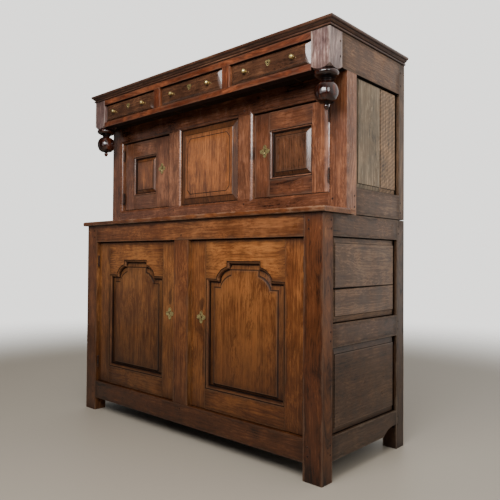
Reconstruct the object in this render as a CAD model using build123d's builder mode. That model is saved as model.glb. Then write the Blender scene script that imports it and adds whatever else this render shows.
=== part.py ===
"""Court cupboard in oak: a lower stage with two arched doors, a set-back upper stage with two
small doors and a fixed centre panel, and an overhanging frieze with three drawers and turned
pendants. Frame: X to the right seen from the front, Y to the back, Z up, millimetres. The
origin lies on the floor under the middle of the whole cupboard."""
import os

from build123d import *

os.makedirs("parts", exist_ok=True)

# ---------------------------------------------------------------- driving dimensions
# Whole case
case_width = 1450.0
case_depth = 575.0
frame_thickness = 40.0  # both front frames, front to back
back_board_thickness = 12.0
back_rail_thickness = 28.0
board_gap = 1.0  # open joint between loose boards
board_width = 170.0  # widest board used for floors, backs and tops
clearance = 0.5  # loose boards beside the frame

# Lower stage, from the floor up
lower_height = 917.0
foot_height = 62.0
lower_bottom_rail = 83.0
lower_top_rail = 82.0
leg_width = 80.0
leg_depth = 60.0
back_leg_width = 60.0
back_leg_depth = 60.0
lower_muntin_width = 90.0
side_thickness = 30.0
side_foot_height = 70.0
side_bottom_rail = 84.0
side_lower_panel = 300.0
side_middle_rail = 81.0
side_top_rail = 80.0
side_board_joint = 121.0  # height of the joint in the upper side panel over the middle rail
side_foot_arch = 100.0  # cut out of the bottom rail's foot beside the back leg
side_foot_arch_run = 70.0
side_foot_arch_rise = 28.0
shelf_lift = 16.0  # the middle side rail's foot to the shelf's underside
shelf_thickness = 18.0

# Ledge between the stages
ledge_thickness = 20.0
ledge_overhang = 18.0
ledge_return = 30.0  # how far the moulding runs back beside the upper stage
ledge_nose_radius = 8.0

# Upper stage
upper_setback = 144.0
upper_stile_width = 80.0
upper_stile_depth = 64.0
upper_bottom_rail = 86.0
upper_opening_height = 347.0
upper_top_rail = 81.0
upper_door_width = 375.0
upper_muntin_width = 88.0
upper_side_rail = 100.0
upper_side_board = 183.0  # width of the front board in each side panel
upper_back_stile_depth = 43.0

# Frieze and cornice
frieze_setback = 36.0
frieze_thickness = 38.0
post_width = 80.0
post_depth = 76.0
post_height = 140.0
post_arris_rise = 15.0  # how far the turned shoulder climbs at a post's arris
frieze_bottom_rail = 24.0
frieze_top_rail = 26.0
frieze_side_rail = 127.0
frieze_muntin_width = 42.0
drawer_opening_height = 87.0
dust_board_thickness = 12.0
dust_rebate_depth = 9.5
cornice_seat = 21.0  # how much of the cornice lies on the frame
cornice_steps = [  # overhang at the sides, overhang in front, height of the step's top
    (6.7, 5.6, 9.0),
    (13.3, 11.2, 17.6),
    (19.0, 16.0, 32.0),
]
top_board_thickness = 18.0

# Joinery
tenon_length = 40.0
tenon_thickness = 10.0
tenon_shoulder = 10.0
mortise_room = 1.0  # empty end of each mortise
tongue_thickness = 8.0
tongue_depth = 8.0
groove_room = 1.5  # a panel's room to swell at the bottom of its groove
panel_setback = 12.0  # frame face to the front of a panel's tongue
field_rise = 5.0
joint_gap = 0.2  # hairline between pieces that share a group
cut_over = 1.0  # how far a cut runs past the faces it opens
peg_diameter = 8.0
peg_length = 36.0
side_peg_length = 28.0
bearer_size = 20.0
floor_board_thickness = 16.0
door_stop_height = 12.0  # a floor board stands this much over the rail to stop the doors

# Doors
door_thickness = 24.0
door_recess = 16.0
door_gap = 2.0
door_tongue_setback = 10.0  # door face to the front of its panel's tongue
lower_door_stile = 94.0
lower_door_bottom_rail = 85.0
lower_door_shoulder_rail = 159.0  # opening head down to the shoulders of the arch
lower_field_margin = 36.0
crown_width = 178.0
field_crown_width = 132.0
arch_step = 8.0
arch_run = 57.0
arch_rise = 42.0
arch_bulge = 8.0
crown_step = 22.0
upper_door_stile = 83.0
upper_left_lock_stile = 108.0
upper_door_bottom_rail = 71.0
upper_door_top_rail = 79.0
upper_field_margin = 30.0

# Ironwork and brass
knuckle_radius = 4.0
pin_radius = 2.0
pin_clearance = 0.05
knuckle_room = 1.0  # knuckle to the door's face and to the frame's edge
leaf_height = 56.0
leaf_thickness = 1.6
leaf_depth = 22.0
knuckle_count = 3
lower_hinge_inset = 95.0
upper_hinge_inset = 62.0
lock_width = 62.0
lock_height = 74.0
lock_depth = 14.0
keyhole_radius = 3.2
keyhole_slot = 11.0
plate_thickness = 1.5
door_plate_size = 54.0
door_plate_waist = 10.8  # half the width of the lozenge between two lobes
door_plate_lobe = 9.0
door_plate_lobe_reach = 16.74
drawer_plate_lobe = 7.0
drawer_plate_centres = [(-5.5, 3.5), (5.5, 3.5), (0.0, -6.3)]
lower_key_height = 517.0
upper_key_height = 1192.0
lower_left_key_inset = 43.0
lower_right_key_inset = 68.0
upper_left_key_inset = 62.0
upper_right_key_inset = 57.0

# Drawers
drawer_gap = 1.5
drawer_lift = 0.5
drawer_face_setback = 2.0
drawer_border_setback = 10.0
drawer_front_thickness = 16.0  # behind the border
drawer_end_bevel = 17.0
drawer_edge_bevel = 11.0  # along the top and the foot of the front
drawer_side_thickness = 10.0
drawer_side_drop = 12.0  # drawer sides below the opening's head
drawer_depth = 440.0
drawer_bottom_thickness = 8.0
drawer_bottom_groove = 5.0
drawer_bottom_lift = 5.0
guide_height = 18.0
knob_radius = 9.0
knob_stem_radius = 3.5
knob_reach = 22.0
knob_rose_radius = 8.0
knob_shank_radius = 2.0
knob_spacing = 234.0

# Pendants
pendant_disc_radius = 45.0
pendant_disc_height = 24.0
pendant_neck_radius = 15.0
pendant_neck_height = 10.0
pendant_ball_radius = 43.0
pendant_ball_height = 79.0
pendant_button_radius = 10.0
pendant_button_height = 20.0
pendant_waist_radius = 6.0
pendant_waist_height = 3.0
pendant_dowel_radius = 12.0
pendant_dowel_length = 40.0

# ---------------------------------------------------------------- worked-out places
half = case_width / 2
back = (case_depth + ledge_overhang) / 2
front = back - case_depth
upper_front = front + upper_setback
frieze_front = front + frieze_setback
back_rail_back = back - back_board_thickness
back_rail_front = back_rail_back - back_rail_thickness
leg_inside = half - leg_width
side_inside = half - side_thickness

lower_sill = foot_height + lower_bottom_rail
lower_head = lower_height - lower_top_rail
upper_sill = lower_height + upper_bottom_rail
upper_head = upper_sill + upper_opening_height
dust_bottom = upper_head + upper_top_rail
drawer_sill = dust_bottom + dust_board_thickness
drawer_head = drawer_sill + drawer_opening_height
case_top = drawer_head + frieze_top_rail
frieze_side_bottom = case_top - frieze_side_rail
post_bottom = case_top - post_height
cornice_top = case_top + cornice_steps[-1][2]

side_rail_1 = (side_foot_height, side_foot_height + side_bottom_rail)
side_rail_2 = (side_rail_1[1] + side_lower_panel, side_rail_1[1] + side_lower_panel + side_middle_rail)
side_rail_3 = (lower_height - side_top_rail, lower_height)
shelf_height = side_rail_2[0] + shelf_lift
upper_side_rail_span = (lower_height, lower_height + upper_side_rail)

lower_muntin = lower_muntin_width / 2
upper_post_inside = half - upper_stile_width
centre_half = upper_post_inside - upper_door_width - upper_muntin_width
frieze_inside = half - post_width
drawer_width = (2 * frieze_inside - 2 * frieze_muntin_width) / 3
drawer_pitch = drawer_width + frieze_muntin_width


# ---------------------------------------------------------------- shaping helpers
def block(x, y, z, mode=Mode.ADD):
    """A squared piece between three (low, high) pairs of faces."""
    with Locations(((x[0] + x[1]) / 2, (y[0] + y[1]) / 2, (z[0] + z[1]) / 2)):
        Box(x[1] - x[0], y[1] - y[0], z[1] - z[0], mode=mode)


def cut(x, y, z):
    """Removes a squared piece."""
    block(x, y, z, mode=Mode.SUBTRACT)


def grown(span, amount):
    """The span with both ends moved outwards."""
    return (span[0] - amount, span[1] + amount)


def middle(span, width):
    """A span of the given width centred in another."""
    centre = (span[0] + span[1]) / 2
    return (centre - width / 2, centre + width / 2)


def facing(y, x=0.0):
    """A sketch plane that faces the front: its own x runs right and its own y runs up."""
    return Plane(origin=(x, y, 0), x_dir=(1, 0, 0), z_dir=(0, -1, 0))


def save(name, piece):
    """Labels a finished piece and writes its file."""
    piece.part.label = name
    export_step(piece.part, f"parts/{name}.step")


def pegs_from_front(points, y, radius, mode=Mode.ADD):
    """Round pegs driven in from the plane y, at (x, z) places."""
    with Locations(*[(x, y + peg_length / 2, z) for x, z in points]):
        Cylinder(radius, peg_length, rotation=(90, 0, 0), mode=mode)


def pegs_from_right(points, radius, mode=Mode.ADD):
    """Round pegs driven in from the right side of the case, at (y, z) places."""
    with Locations(*[(half - side_peg_length / 2, y, z) for y, z in points]):
        Cylinder(radius, side_peg_length, rotation=(0, 90, 0), mode=mode)


# ---------------------------------------------------------------- tenons of the frames
def end_tenon(x_shoulder, frame_y, z):
    """The right-hand tenon of a front rail: three spans."""
    x = (x_shoulder, x_shoulder + tenon_length)
    return (x, middle(frame_y, tenon_thickness), grown(z, -tenon_shoulder))


def side_tenons(z, y_front, y_back):
    """The two tenons of a right-hand side rail, front and back."""
    x = middle((side_inside, half), tenon_thickness)
    inner = grown(z, -tenon_shoulder)
    return [
        (x, (y_front - side_tenon_length, y_front), inner),
        (x, (y_back, y_back + side_tenon_length), inner),
    ]


def mortise(tenon, axis):
    """Cuts a tenon's mortise, with room at its end along one axis (0 to 2)."""
    spans = list(tenon)
    spans[axis] = grown(spans[axis], mortise_room)
    cut(*spans)


side_tenon_length = min(leg_depth, post_depth, upper_back_stile_depth) - 2 * tenon_shoulder
peg_hole = peg_diameter / 2 + joint_gap / 2

lower_frame_y = (front, front + frame_thickness)
upper_frame_y = (upper_front, upper_front + frame_thickness)
frieze_frame_y = (frieze_front, frieze_front + frieze_thickness)
leg_back_y = front + leg_depth
back_leg_y = back - back_leg_depth
upper_stile_y = (upper_front, upper_front + upper_stile_depth)
upper_back_stile_y = back - upper_back_stile_depth
post_y = (frieze_front, frieze_front + post_depth)

lower_rails = [(foot_height, lower_sill), (lower_head, lower_height)]
upper_rails = [(lower_height, upper_sill), (upper_head, dust_bottom)]
frieze_rails = [(drawer_sill - frieze_bottom_rail, drawer_sill), (drawer_head, case_top)]

lower_rail_tenons = [end_tenon(leg_inside, lower_frame_y, z) for z in lower_rails]
upper_rail_tenons = [end_tenon(upper_post_inside, upper_frame_y, z) for z in upper_rails]
frieze_rail_tenons = [
    (
        (frieze_inside, frieze_inside + tenon_length),
        middle(frieze_frame_y, tenon_thickness),
        grown(z, -tenon_shoulder / 2),
    )
    for z in frieze_rails
]
lower_side_tenons = [
    tenon for z in (side_rail_1, side_rail_2, side_rail_3) for tenon in side_tenons(z, leg_back_y, back_leg_y)
]
upper_side_tenons = side_tenons(upper_side_rail_span, upper_stile_y[1], upper_back_stile_y)
frieze_side_tenons = side_tenons((frieze_side_bottom, case_top), post_y[1], upper_back_stile_y)
stile_top_tenon = (
    middle((side_inside, half), tenon_thickness),
    grown(upper_stile_y, -tenon_shoulder),
    (frieze_side_bottom, frieze_side_bottom + tenon_length),
)

panel_tongue_x = (half - panel_setback - tongue_thickness, half - panel_setback)


def peg_pairs(tenons, axis):
    """Two peg places in each tenon: axis 0 takes (x, z) and axis 1 takes (y, z)."""
    places = []
    for tenon in tenons:
        along = sum(tenon[axis]) / 2
        low, high = tenon[2]
        quarter = (high - low) / 4
        places += [(along, low + quarter), (along, high - quarter)]
    return places


def both_sides(places):
    """Places on the right and on the left of the case."""
    return places + [(-x, z) for x, z in places]


lower_front_pegs = both_sides(peg_pairs(lower_rail_tenons, 0))
upper_front_pegs = both_sides(peg_pairs(upper_rail_tenons, 0))
muntin_peg_rise = tenon_length / 2
lower_muntin_pegs = [(0.0, lower_sill - muntin_peg_rise), (0.0, lower_head + muntin_peg_rise)]
upper_muntin_x = centre_half + upper_muntin_width / 2
upper_muntin_pegs = both_sides(
    [(upper_muntin_x, upper_sill - muntin_peg_rise), (upper_muntin_x, upper_head + muntin_peg_rise)]
)
lower_side_pegs = peg_pairs(lower_side_tenons, 1)
upper_side_pegs = peg_pairs(upper_side_tenons, 1)
frieze_side_pegs = peg_pairs(frieze_side_tenons, 1)


def muntin_tenons(x, frame_y, z):
    """The tenons under and over a muntin that stands between two rails."""
    wide = grown(x, -tenon_shoulder)
    thick = middle(frame_y, tenon_thickness)
    return [(wide, thick, (z[0] - tenon_length, z[0])), (wide, thick, (z[1], z[1] + tenon_length))]


def side_groove(y, z):
    """Grooves the edges round a side panel's opening on the right-hand side."""
    cut(panel_tongue_x, grown(y, tongue_depth + groove_room), grown(z, tongue_depth + groove_room))


lower_side_openings = [
    ((leg_back_y, back_leg_y), (side_rail_1[1], side_rail_2[0])),
    ((leg_back_y, back_leg_y), (side_rail_2[1], side_rail_3[0])),
]
upper_side_opening = (
    (upper_stile_y[1], upper_back_stile_y),
    (upper_side_rail_span[1], frieze_side_bottom),
)
lower_muntin_tenons = muntin_tenons((-lower_muntin, lower_muntin), lower_frame_y, (lower_sill, lower_head))
upper_muntin_spans = [
    (centre_half, centre_half + upper_muntin_width),
    (-centre_half - upper_muntin_width, -centre_half),
]
upper_muntin_tenons = [
    tenon for x in upper_muntin_spans for tenon in muntin_tenons(x, upper_frame_y, (upper_sill, upper_head))
]

# ---------------------------------------------------------------- lower stage: frame
with BuildPart() as lower_front_legs:
    block((leg_inside, half), (front, leg_back_y), (0, lower_height))
    for joint in lower_rail_tenons:
        mortise(joint, 0)
    for joint in lower_side_tenons:
        mortise(joint, 1)
    for opening in lower_side_openings:
        side_groove(*opening)
    pegs_from_front(peg_pairs(lower_rail_tenons, 0), front, peg_hole, Mode.SUBTRACT)
    pegs_from_right(lower_side_pegs, peg_hole, Mode.SUBTRACT)
    for z_hinge in (lower_sill + lower_hinge_inset, lower_head - lower_hinge_inset):
        cut(
            (leg_inside, leg_inside + leaf_thickness),
            (front + door_recess - 2 * knuckle_room - 2 * knuckle_radius, front + door_recess + leaf_depth),
            middle((z_hinge, z_hinge), leaf_height),
        )
    mirror(about=Plane.YZ)
save("lower_front_legs", lower_front_legs)

with BuildPart() as lower_back_legs:
    block((half - back_leg_width, half), (back_leg_y, back), (0, lower_height))
    for joint in lower_side_tenons:
        mortise(joint, 1)
    for opening in lower_side_openings:
        side_groove(*opening)
    pegs_from_right(lower_side_pegs, peg_hole, Mode.SUBTRACT)
    mirror(about=Plane.YZ)
save("lower_back_legs", lower_back_legs)

with BuildPart() as lower_front_rails:
    for z, joint in zip(lower_rails, lower_rail_tenons):
        block((0, leg_inside), lower_frame_y, z)
        block(*joint)
    mirror(about=Plane.YZ)
    for joint in lower_muntin_tenons:
        mortise(joint, 2)
    pegs_from_front(lower_front_pegs + lower_muntin_pegs, front, peg_hole, Mode.SUBTRACT)
save("lower_front_rails", lower_front_rails)

with BuildPart() as lower_muntin_post:
    block((-lower_muntin, lower_muntin), lower_frame_y, (lower_sill, lower_head))
    for joint in lower_muntin_tenons:
        block(*joint)
    pegs_from_front(lower_muntin_pegs, front, peg_hole, Mode.SUBTRACT)
save("lower_muntin", lower_muntin_post)

with BuildPart() as lower_side_rails:
    for z in (side_rail_1, side_rail_2, side_rail_3):
        block((side_inside, half), (leg_back_y, back_leg_y), z)
    for joint in lower_side_tenons:
        block(*joint)
    for opening in lower_side_openings:
        side_groove(*opening)
    arch_y = back_leg_y - side_foot_arch
    arch_end = arch_y + side_foot_arch_run
    arch_top = side_foot_height + side_foot_arch_rise
    with BuildSketch(Plane.YZ.offset(half)):
        with BuildLine():
            Line((arch_end, arch_top), (back_leg_y, arch_top))
            Polyline((back_leg_y, arch_top), (back_leg_y, side_foot_height), (arch_y, side_foot_height))
            TangentArc((arch_end, arch_top), (arch_y, side_foot_height), tangent=(-1, 0), tangent_from_first=True)
        make_face()
    extrude(amount=-side_thickness, mode=Mode.SUBTRACT)
    pegs_from_right(lower_side_pegs, peg_hole, Mode.SUBTRACT)
    mirror(about=Plane.YZ)
save("lower_side_rails", lower_side_rails)

with BuildPart() as lower_side_panels:
    for y, z in lower_side_openings:
        block(panel_tongue_x, grown(y, tongue_depth), grown(z, tongue_depth))
        with BuildSketch(Plane.YZ.offset(panel_tongue_x[1])):
            with Locations((sum(y) / 2, sum(z) / 2)):
                Rectangle(y[1] - y[0] - 2 * lower_field_margin, z[1] - z[0] - 2 * lower_field_margin)
        extrude(amount=field_rise)
    joint_height = side_rail_2[1] + side_board_joint
    cut(
        grown(panel_tongue_x, field_rise),
        (front, back),
        (joint_height, joint_height + board_gap),
    )
    mirror(about=Plane.YZ)
save("lower_side_panels", lower_side_panels)


# ---------------------------------------------------------------- boards in both stages
def boards(x, y, z, run):
    """Loose boards side by side. Their joints follow X or Y, the axis named by run."""
    block(x, y, z)
    span = y if run == "x" else x
    count = max(2, round((span[1] - span[0]) / board_width))
    pitch = (span[1] - span[0]) / count
    for number in range(1, count):
        joint = span[0] + number * pitch
        gap = (joint - board_gap / 2, joint + board_gap / 2)
        if run == "x":
            cut(grown(x, cut_over), gap, grown(z, cut_over))
        else:
            cut(gap, grown(y, cut_over), grown(z, cut_over))


def notches(posts, z):
    """Clears boards round the posts of the right side, and mirrors the cuts to the left."""
    for x, y in posts:
        for span in (grown(x, clearance), (-x[1] - clearance, -x[0] + clearance)):
            cut(span, grown(y, clearance), grown(z, cut_over))


lower_posts = [((leg_inside, half), (front, leg_back_y)), ((half - back_leg_width, half), (back_leg_y, back))]
upper_posts = [
    ((upper_post_inside, half), upper_stile_y),
    ((half - back_leg_width, half), (upper_back_stile_y, back)),
]
inside_x = (-side_inside + clearance, side_inside - clearance)
lower_floor_top = lower_sill + door_stop_height
upper_floor_top = upper_sill + door_stop_height
board_levels = {
    "lower_floor_boards": (lower_floor_top, lower_frame_y[1], lower_posts),
    "lower_top_boards": (lower_height, lower_frame_y[1], lower_posts),
    "upper_floor_boards": (upper_floor_top, upper_frame_y[1], upper_posts),
}
for level_name, (level_top, behind, posts) in board_levels.items():
    level_z = (level_top - floor_board_thickness, level_top)
    with BuildPart() as level_boards:
        boards(inside_x, (behind + clearance, back_rail_front - clearance), level_z, "y")
        notches(posts, level_z)
    save(level_name, level_boards)

shelf_y = (leg_back_y + clearance, back_leg_y - clearance)
with BuildPart() as lower_shelf:
    boards(inside_x, shelf_y, (shelf_height, shelf_height + shelf_thickness), "x")
save("lower_shelf", lower_shelf)

with BuildPart() as board_bearers:
    for level_top, behind, _ in board_levels.values():
        under = level_top - floor_board_thickness
        strip_x = (-leg_inside + clearance, leg_inside - clearance)
        for y in ((behind, behind + bearer_size), (back_rail_front - bearer_size, back_rail_front)):
            block(strip_x, y, (under - bearer_size, under))
    back_strip_x = (-leg_inside + clearance, leg_inside - clearance)
    block(back_strip_x, (back_rail_front - bearer_size, back_rail_front), (dust_bottom - bearer_size, dust_bottom))
    for x in ((side_inside - bearer_size, side_inside), (-side_inside, -side_inside + bearer_size)):
        block(x, shelf_y, (shelf_height - bearer_size, shelf_height))
save("board_bearers", board_bearers)

back_rail_spans = [
    (foot_height, lower_sill),
    (lower_head, lower_height),
    (lower_height, upper_sill),
    (dust_bottom - upper_top_rail, dust_bottom),
    (case_top - lower_top_rail, case_top),
]
back_x = half - back_leg_width
with BuildPart() as back_rails:
    for z in back_rail_spans:
        gap = joint_gap if z[0] == lower_height else 0
        block((-back_x, back_x), (back_rail_front, back_rail_back), (z[0] + gap, z[1]))
save("back_rails", back_rails)

with BuildPart() as lower_back_boards:
    boards((-back_x, back_x), (back_rail_back, back), (foot_height, lower_height), "y")
save("lower_back_boards", lower_back_boards)

with BuildPart() as upper_back_boards:
    boards((-back_x, back_x), (back_rail_back, back), (lower_height, case_top), "y")
save("upper_back_boards", upper_back_boards)

# ---------------------------------------------------------------- ledge
ledge_top = lower_height + ledge_thickness
with BuildPart() as waist_ledge:
    outer_x = (-half - ledge_overhang, half + ledge_overhang)
    block(outer_x, (front - ledge_overhang, upper_front), (lower_height, ledge_top))
    nose = edges().filter_by(Axis.X).group_by(Axis.Y)[0]
    ends = edges().filter_by(Axis.Y).filter_by_position(Axis.Z, ledge_top, ledge_top)
    fillet(nose + ends, ledge_nose_radius)
    for x in ((half, half + ledge_overhang), (-half - ledge_overhang, -half)):
        block(x, (upper_front + joint_gap, upper_front + ledge_return), (lower_height, ledge_top))
save("waist_ledge", waist_ledge)

# ---------------------------------------------------------------- upper stage: frame
with BuildPart() as upper_front_stiles:
    block((upper_post_inside, half), upper_stile_y, (lower_height, frieze_side_bottom))
    block(*stile_top_tenon)
    for joint in upper_rail_tenons:
        mortise(joint, 0)
    for joint in upper_side_tenons:
        mortise(joint, 1)
    side_groove(*upper_side_opening)
    pegs_from_front(peg_pairs(upper_rail_tenons, 0), upper_front, peg_hole, Mode.SUBTRACT)
    pegs_from_right(upper_side_pegs, peg_hole, Mode.SUBTRACT)
    for z_hinge in (upper_sill + upper_hinge_inset, upper_head - upper_hinge_inset):
        cut(
            (upper_post_inside, upper_post_inside + leaf_thickness),
            (
                upper_front + door_recess - 2 * knuckle_room - 2 * knuckle_radius,
                upper_front + door_recess + leaf_depth,
            ),
            middle((z_hinge, z_hinge), leaf_height),
        )
    mirror(about=Plane.YZ)
save("upper_front_stiles", upper_front_stiles)

with BuildPart() as upper_back_stiles:
    block((half - back_leg_width, half), (upper_back_stile_y, back), (lower_height, case_top))
    for joint in upper_side_tenons + frieze_side_tenons:
        mortise(joint, 1)
    side_groove(*upper_side_opening)
    pegs_from_right(upper_side_pegs + frieze_side_pegs, peg_hole, Mode.SUBTRACT)
    mirror(about=Plane.YZ)
save("upper_back_stiles", upper_back_stiles)

centre_groove_y = (upper_front + panel_setback, upper_front + panel_setback + tongue_thickness)
centre_x = (-centre_half, centre_half)
centre_z = (upper_sill, upper_head)
centre_groove = (
    grown(centre_x, tongue_depth + groove_room),
    centre_groove_y,
    grown(centre_z, tongue_depth + groove_room),
)

with BuildPart() as upper_front_rails:
    for z, joint in zip(upper_rails, upper_rail_tenons):
        block((0, upper_post_inside), upper_frame_y, z)
        block(*joint)
    mirror(about=Plane.YZ)
    for joint in upper_muntin_tenons:
        mortise(joint, 2)
    cut(*centre_groove)
    pegs_from_front(upper_front_pegs + upper_muntin_pegs, upper_front, peg_hole, Mode.SUBTRACT)
save("upper_front_rails", upper_front_rails)

with BuildPart() as upper_muntins:
    for x in upper_muntin_spans:
        block(x, upper_frame_y, (upper_sill, upper_head))
    for joint in upper_muntin_tenons:
        block(*joint)
    cut(*centre_groove)
    pegs_from_front(upper_muntin_pegs, upper_front, peg_hole, Mode.SUBTRACT)
save("upper_muntins", upper_muntins)

with BuildPart() as upper_side_rails:
    block((side_inside, half), (upper_stile_y[1], upper_back_stile_y), upper_side_rail_span)
    for joint in upper_side_tenons:
        block(*joint)
    side_groove(*upper_side_opening)
    pegs_from_right(upper_side_pegs, peg_hole, Mode.SUBTRACT)
    mirror(about=Plane.YZ)
save("upper_side_rails", upper_side_rails)

with BuildPart() as upper_side_panels:
    opening_y, opening_z = upper_side_opening
    block(panel_tongue_x, grown(opening_y, tongue_depth), grown(opening_z, tongue_depth))
    joint_y = opening_y[0] + upper_side_board
    cut(grown(panel_tongue_x, cut_over), (joint_y, joint_y + board_gap), (lower_height, case_top))
    mirror(about=Plane.YZ)
save("upper_side_panels", upper_side_panels)

# ---------------------------------------------------------------- frieze
post_centre = (half - post_width / 2, frieze_front + post_depth / 2)
with BuildPart() as frieze_side_rails:
    block((side_inside, half), (post_y[1], upper_back_stile_y), (frieze_side_bottom, case_top))
    for joint in frieze_side_tenons:
        block(*joint)
    mortise(stile_top_tenon, 2)
    side_groove(*upper_side_opening)
    pegs_from_right(frieze_side_pegs, peg_hole, Mode.SUBTRACT)
    mirror(about=Plane.YZ)
save("frieze_side_rails", frieze_side_rails)

with BuildPart() as frieze_posts:
    block((half - post_width, half), post_y, (post_bottom, case_top))
    pendant_plane = Plane(origin=(*post_centre, 0), x_dir=(1, 0, 0), z_dir=(0, -1, 0))
    pendant_axis = Axis((*post_centre, 0), (0, 0, 1))
    shoulder_start = min(post_width, post_depth) / 2
    corner_reach = max(post_width, post_depth)
    with BuildSketch(pendant_plane):
        with BuildLine():
            corner = ((post_width / 2) ** 2 + (post_depth / 2) ** 2) ** 0.5
            slope = post_arris_rise / (corner - shoulder_start)
            far_height = post_bottom + slope * (corner_reach - shoulder_start)
            Polyline(
                (shoulder_start, post_bottom),
                (corner_reach, far_height),
                (corner_reach, post_bottom),
                close=True,
            )
        make_face()
    revolve(axis=pendant_axis, mode=Mode.SUBTRACT)
    with Locations((*post_centre, post_bottom)):
        Cylinder(
            pendant_dowel_radius + joint_gap,
            2 * (pendant_dowel_length + mortise_room),
            mode=Mode.SUBTRACT,
        )
    for joint in frieze_rail_tenons:
        mortise(joint, 0)
    mortise(frieze_side_tenons[0], 1)
    pegs_from_right(frieze_side_pegs, peg_hole, Mode.SUBTRACT)
    mirror(about=Plane.YZ)
save("frieze_posts", frieze_posts)

muntin_tongue = tenon_shoulder
with BuildPart() as frieze_frame:
    for z, joint in zip(frieze_rails, frieze_rail_tenons):
        block((0, frieze_inside), frieze_frame_y, z)
        block(*joint)
    mirror(about=Plane.YZ)
    cut(
        (-frieze_inside, frieze_inside),
        (frieze_frame_y[1] - dust_rebate_depth, frieze_frame_y[1]),
        (dust_bottom, drawer_sill),
    )
    for side in (-1, 1):
        muntin_x = middle((side * drawer_pitch / 2, side * drawer_pitch / 2), frieze_muntin_width)
        tongue_x = middle(muntin_x, frieze_muntin_width / 2)
        tongue_y = middle(frieze_frame_y, tenon_thickness)
        tongue_z = (drawer_sill - muntin_tongue, drawer_head + muntin_tongue)
        cut(grown(tongue_x, joint_gap), grown(tongue_y, joint_gap), grown(tongue_z, joint_gap))
        block(muntin_x, frieze_frame_y, (drawer_sill + joint_gap, drawer_head - joint_gap))
        block(tongue_x, tongue_y, tongue_z)
save("frieze_frame", frieze_frame)

with BuildPart() as pendants:
    disc_bottom = post_bottom - pendant_disc_height
    neck_bottom = disc_bottom - pendant_neck_height
    ball_bottom = neck_bottom - pendant_ball_height
    waist_bottom = ball_bottom - pendant_waist_height
    button_bottom = waist_bottom - pendant_button_height
    ball_middle = (neck_bottom + ball_bottom) / 2
    disc_edge = pendant_disc_radius - pendant_disc_height / 2
    with BuildSketch(pendant_plane):
        with BuildLine():
            Polyline(
                (disc_edge, post_bottom),
                (pendant_dowel_radius, post_bottom),
                (pendant_dowel_radius, post_bottom + pendant_dowel_length),
                (0, post_bottom + pendant_dowel_length),
                (0, button_bottom),
                (pendant_button_radius / 2, button_bottom),
            )
            ThreePointArc(
                (pendant_button_radius / 2, button_bottom),
                (pendant_button_radius, (button_bottom + waist_bottom) / 2),
                (pendant_waist_radius, waist_bottom),
            )
            Line((pendant_waist_radius, waist_bottom), (pendant_waist_radius, ball_bottom))
            Line((pendant_waist_radius, ball_bottom), (pendant_neck_radius, ball_bottom))
            ThreePointArc(
                (pendant_neck_radius, ball_bottom),
                (pendant_ball_radius, ball_middle),
                (pendant_neck_radius, neck_bottom),
            )
            Line((pendant_neck_radius, neck_bottom), (pendant_neck_radius, disc_bottom))
            Line((pendant_neck_radius, disc_bottom), (disc_edge, disc_bottom))
            ThreePointArc(
                (disc_edge, disc_bottom),
                (pendant_disc_radius, (disc_bottom + post_bottom) / 2),
                (disc_edge, post_bottom),
            )
        make_face()
    revolve(axis=pendant_axis)
    mirror(about=Plane.YZ)
save("pendants", pendants)

dust_y = (frieze_frame_y[1] - dust_rebate_depth + clearance, back_rail_front - clearance)
dust_z = (dust_bottom, drawer_sill)
with BuildPart() as dust_boards:
    boards(inside_x, dust_y, dust_z, "y")
    notches([((frieze_inside, half), post_y), upper_posts[1]], dust_z)
save("dust_boards", dust_boards)

guide_z = (drawer_sill, drawer_sill + guide_height)
guide_back = back_rail_front - bearer_size
with BuildPart() as drawer_guides:
    for side in (-1, 1):
        guide_x = middle((side * drawer_pitch / 2, side * drawer_pitch / 2), frieze_muntin_width - 2 * clearance)
        block(guide_x, (frieze_frame_y[1] + clearance, guide_back), guide_z)
    block((frieze_inside + clearance, side_inside - clearance), (post_y[1] + clearance, guide_back), guide_z)
    block((-side_inside + clearance, -frieze_inside - clearance), (post_y[1] + clearance, guide_back), guide_z)
save("drawer_guides", drawer_guides)

# ---------------------------------------------------------------- cornice and top
cornice_inside = half - cornice_seat
cornice_back_of_front = frieze_front + cornice_seat
with BuildPart() as cornice:
    low = case_top
    for side_overhang, front_overhang, step_height in cornice_steps:
        high = case_top + step_height
        edge = half + side_overhang
        block((-edge, edge), (frieze_front - front_overhang, back), (low, high))
        low = high
    cut(
        (-cornice_inside, cornice_inside),
        (cornice_back_of_front, back + cut_over),
        grown((case_top, cornice_top), cut_over),
    )
save("cornice", cornice)

with BuildPart() as top_boards:
    boards(
        (-cornice_inside + clearance, cornice_inside - clearance),
        (cornice_back_of_front + clearance, back),
        (case_top, case_top + top_board_thickness),
        "x",
    )
save("top_boards", top_boards)

# ---------------------------------------------------------------- pegs
with BuildPart() as frame_pegs:
    radius = peg_diameter / 2
    pegs_from_right(lower_side_pegs + upper_side_pegs + frieze_side_pegs, radius)
    mirror(about=Plane.YZ)
    pegs_from_front(lower_front_pegs + lower_muntin_pegs, front, radius)
    pegs_from_front(upper_front_pegs + upper_muntin_pegs, upper_front, radius)
save("frame_pegs", frame_pegs)


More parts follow.
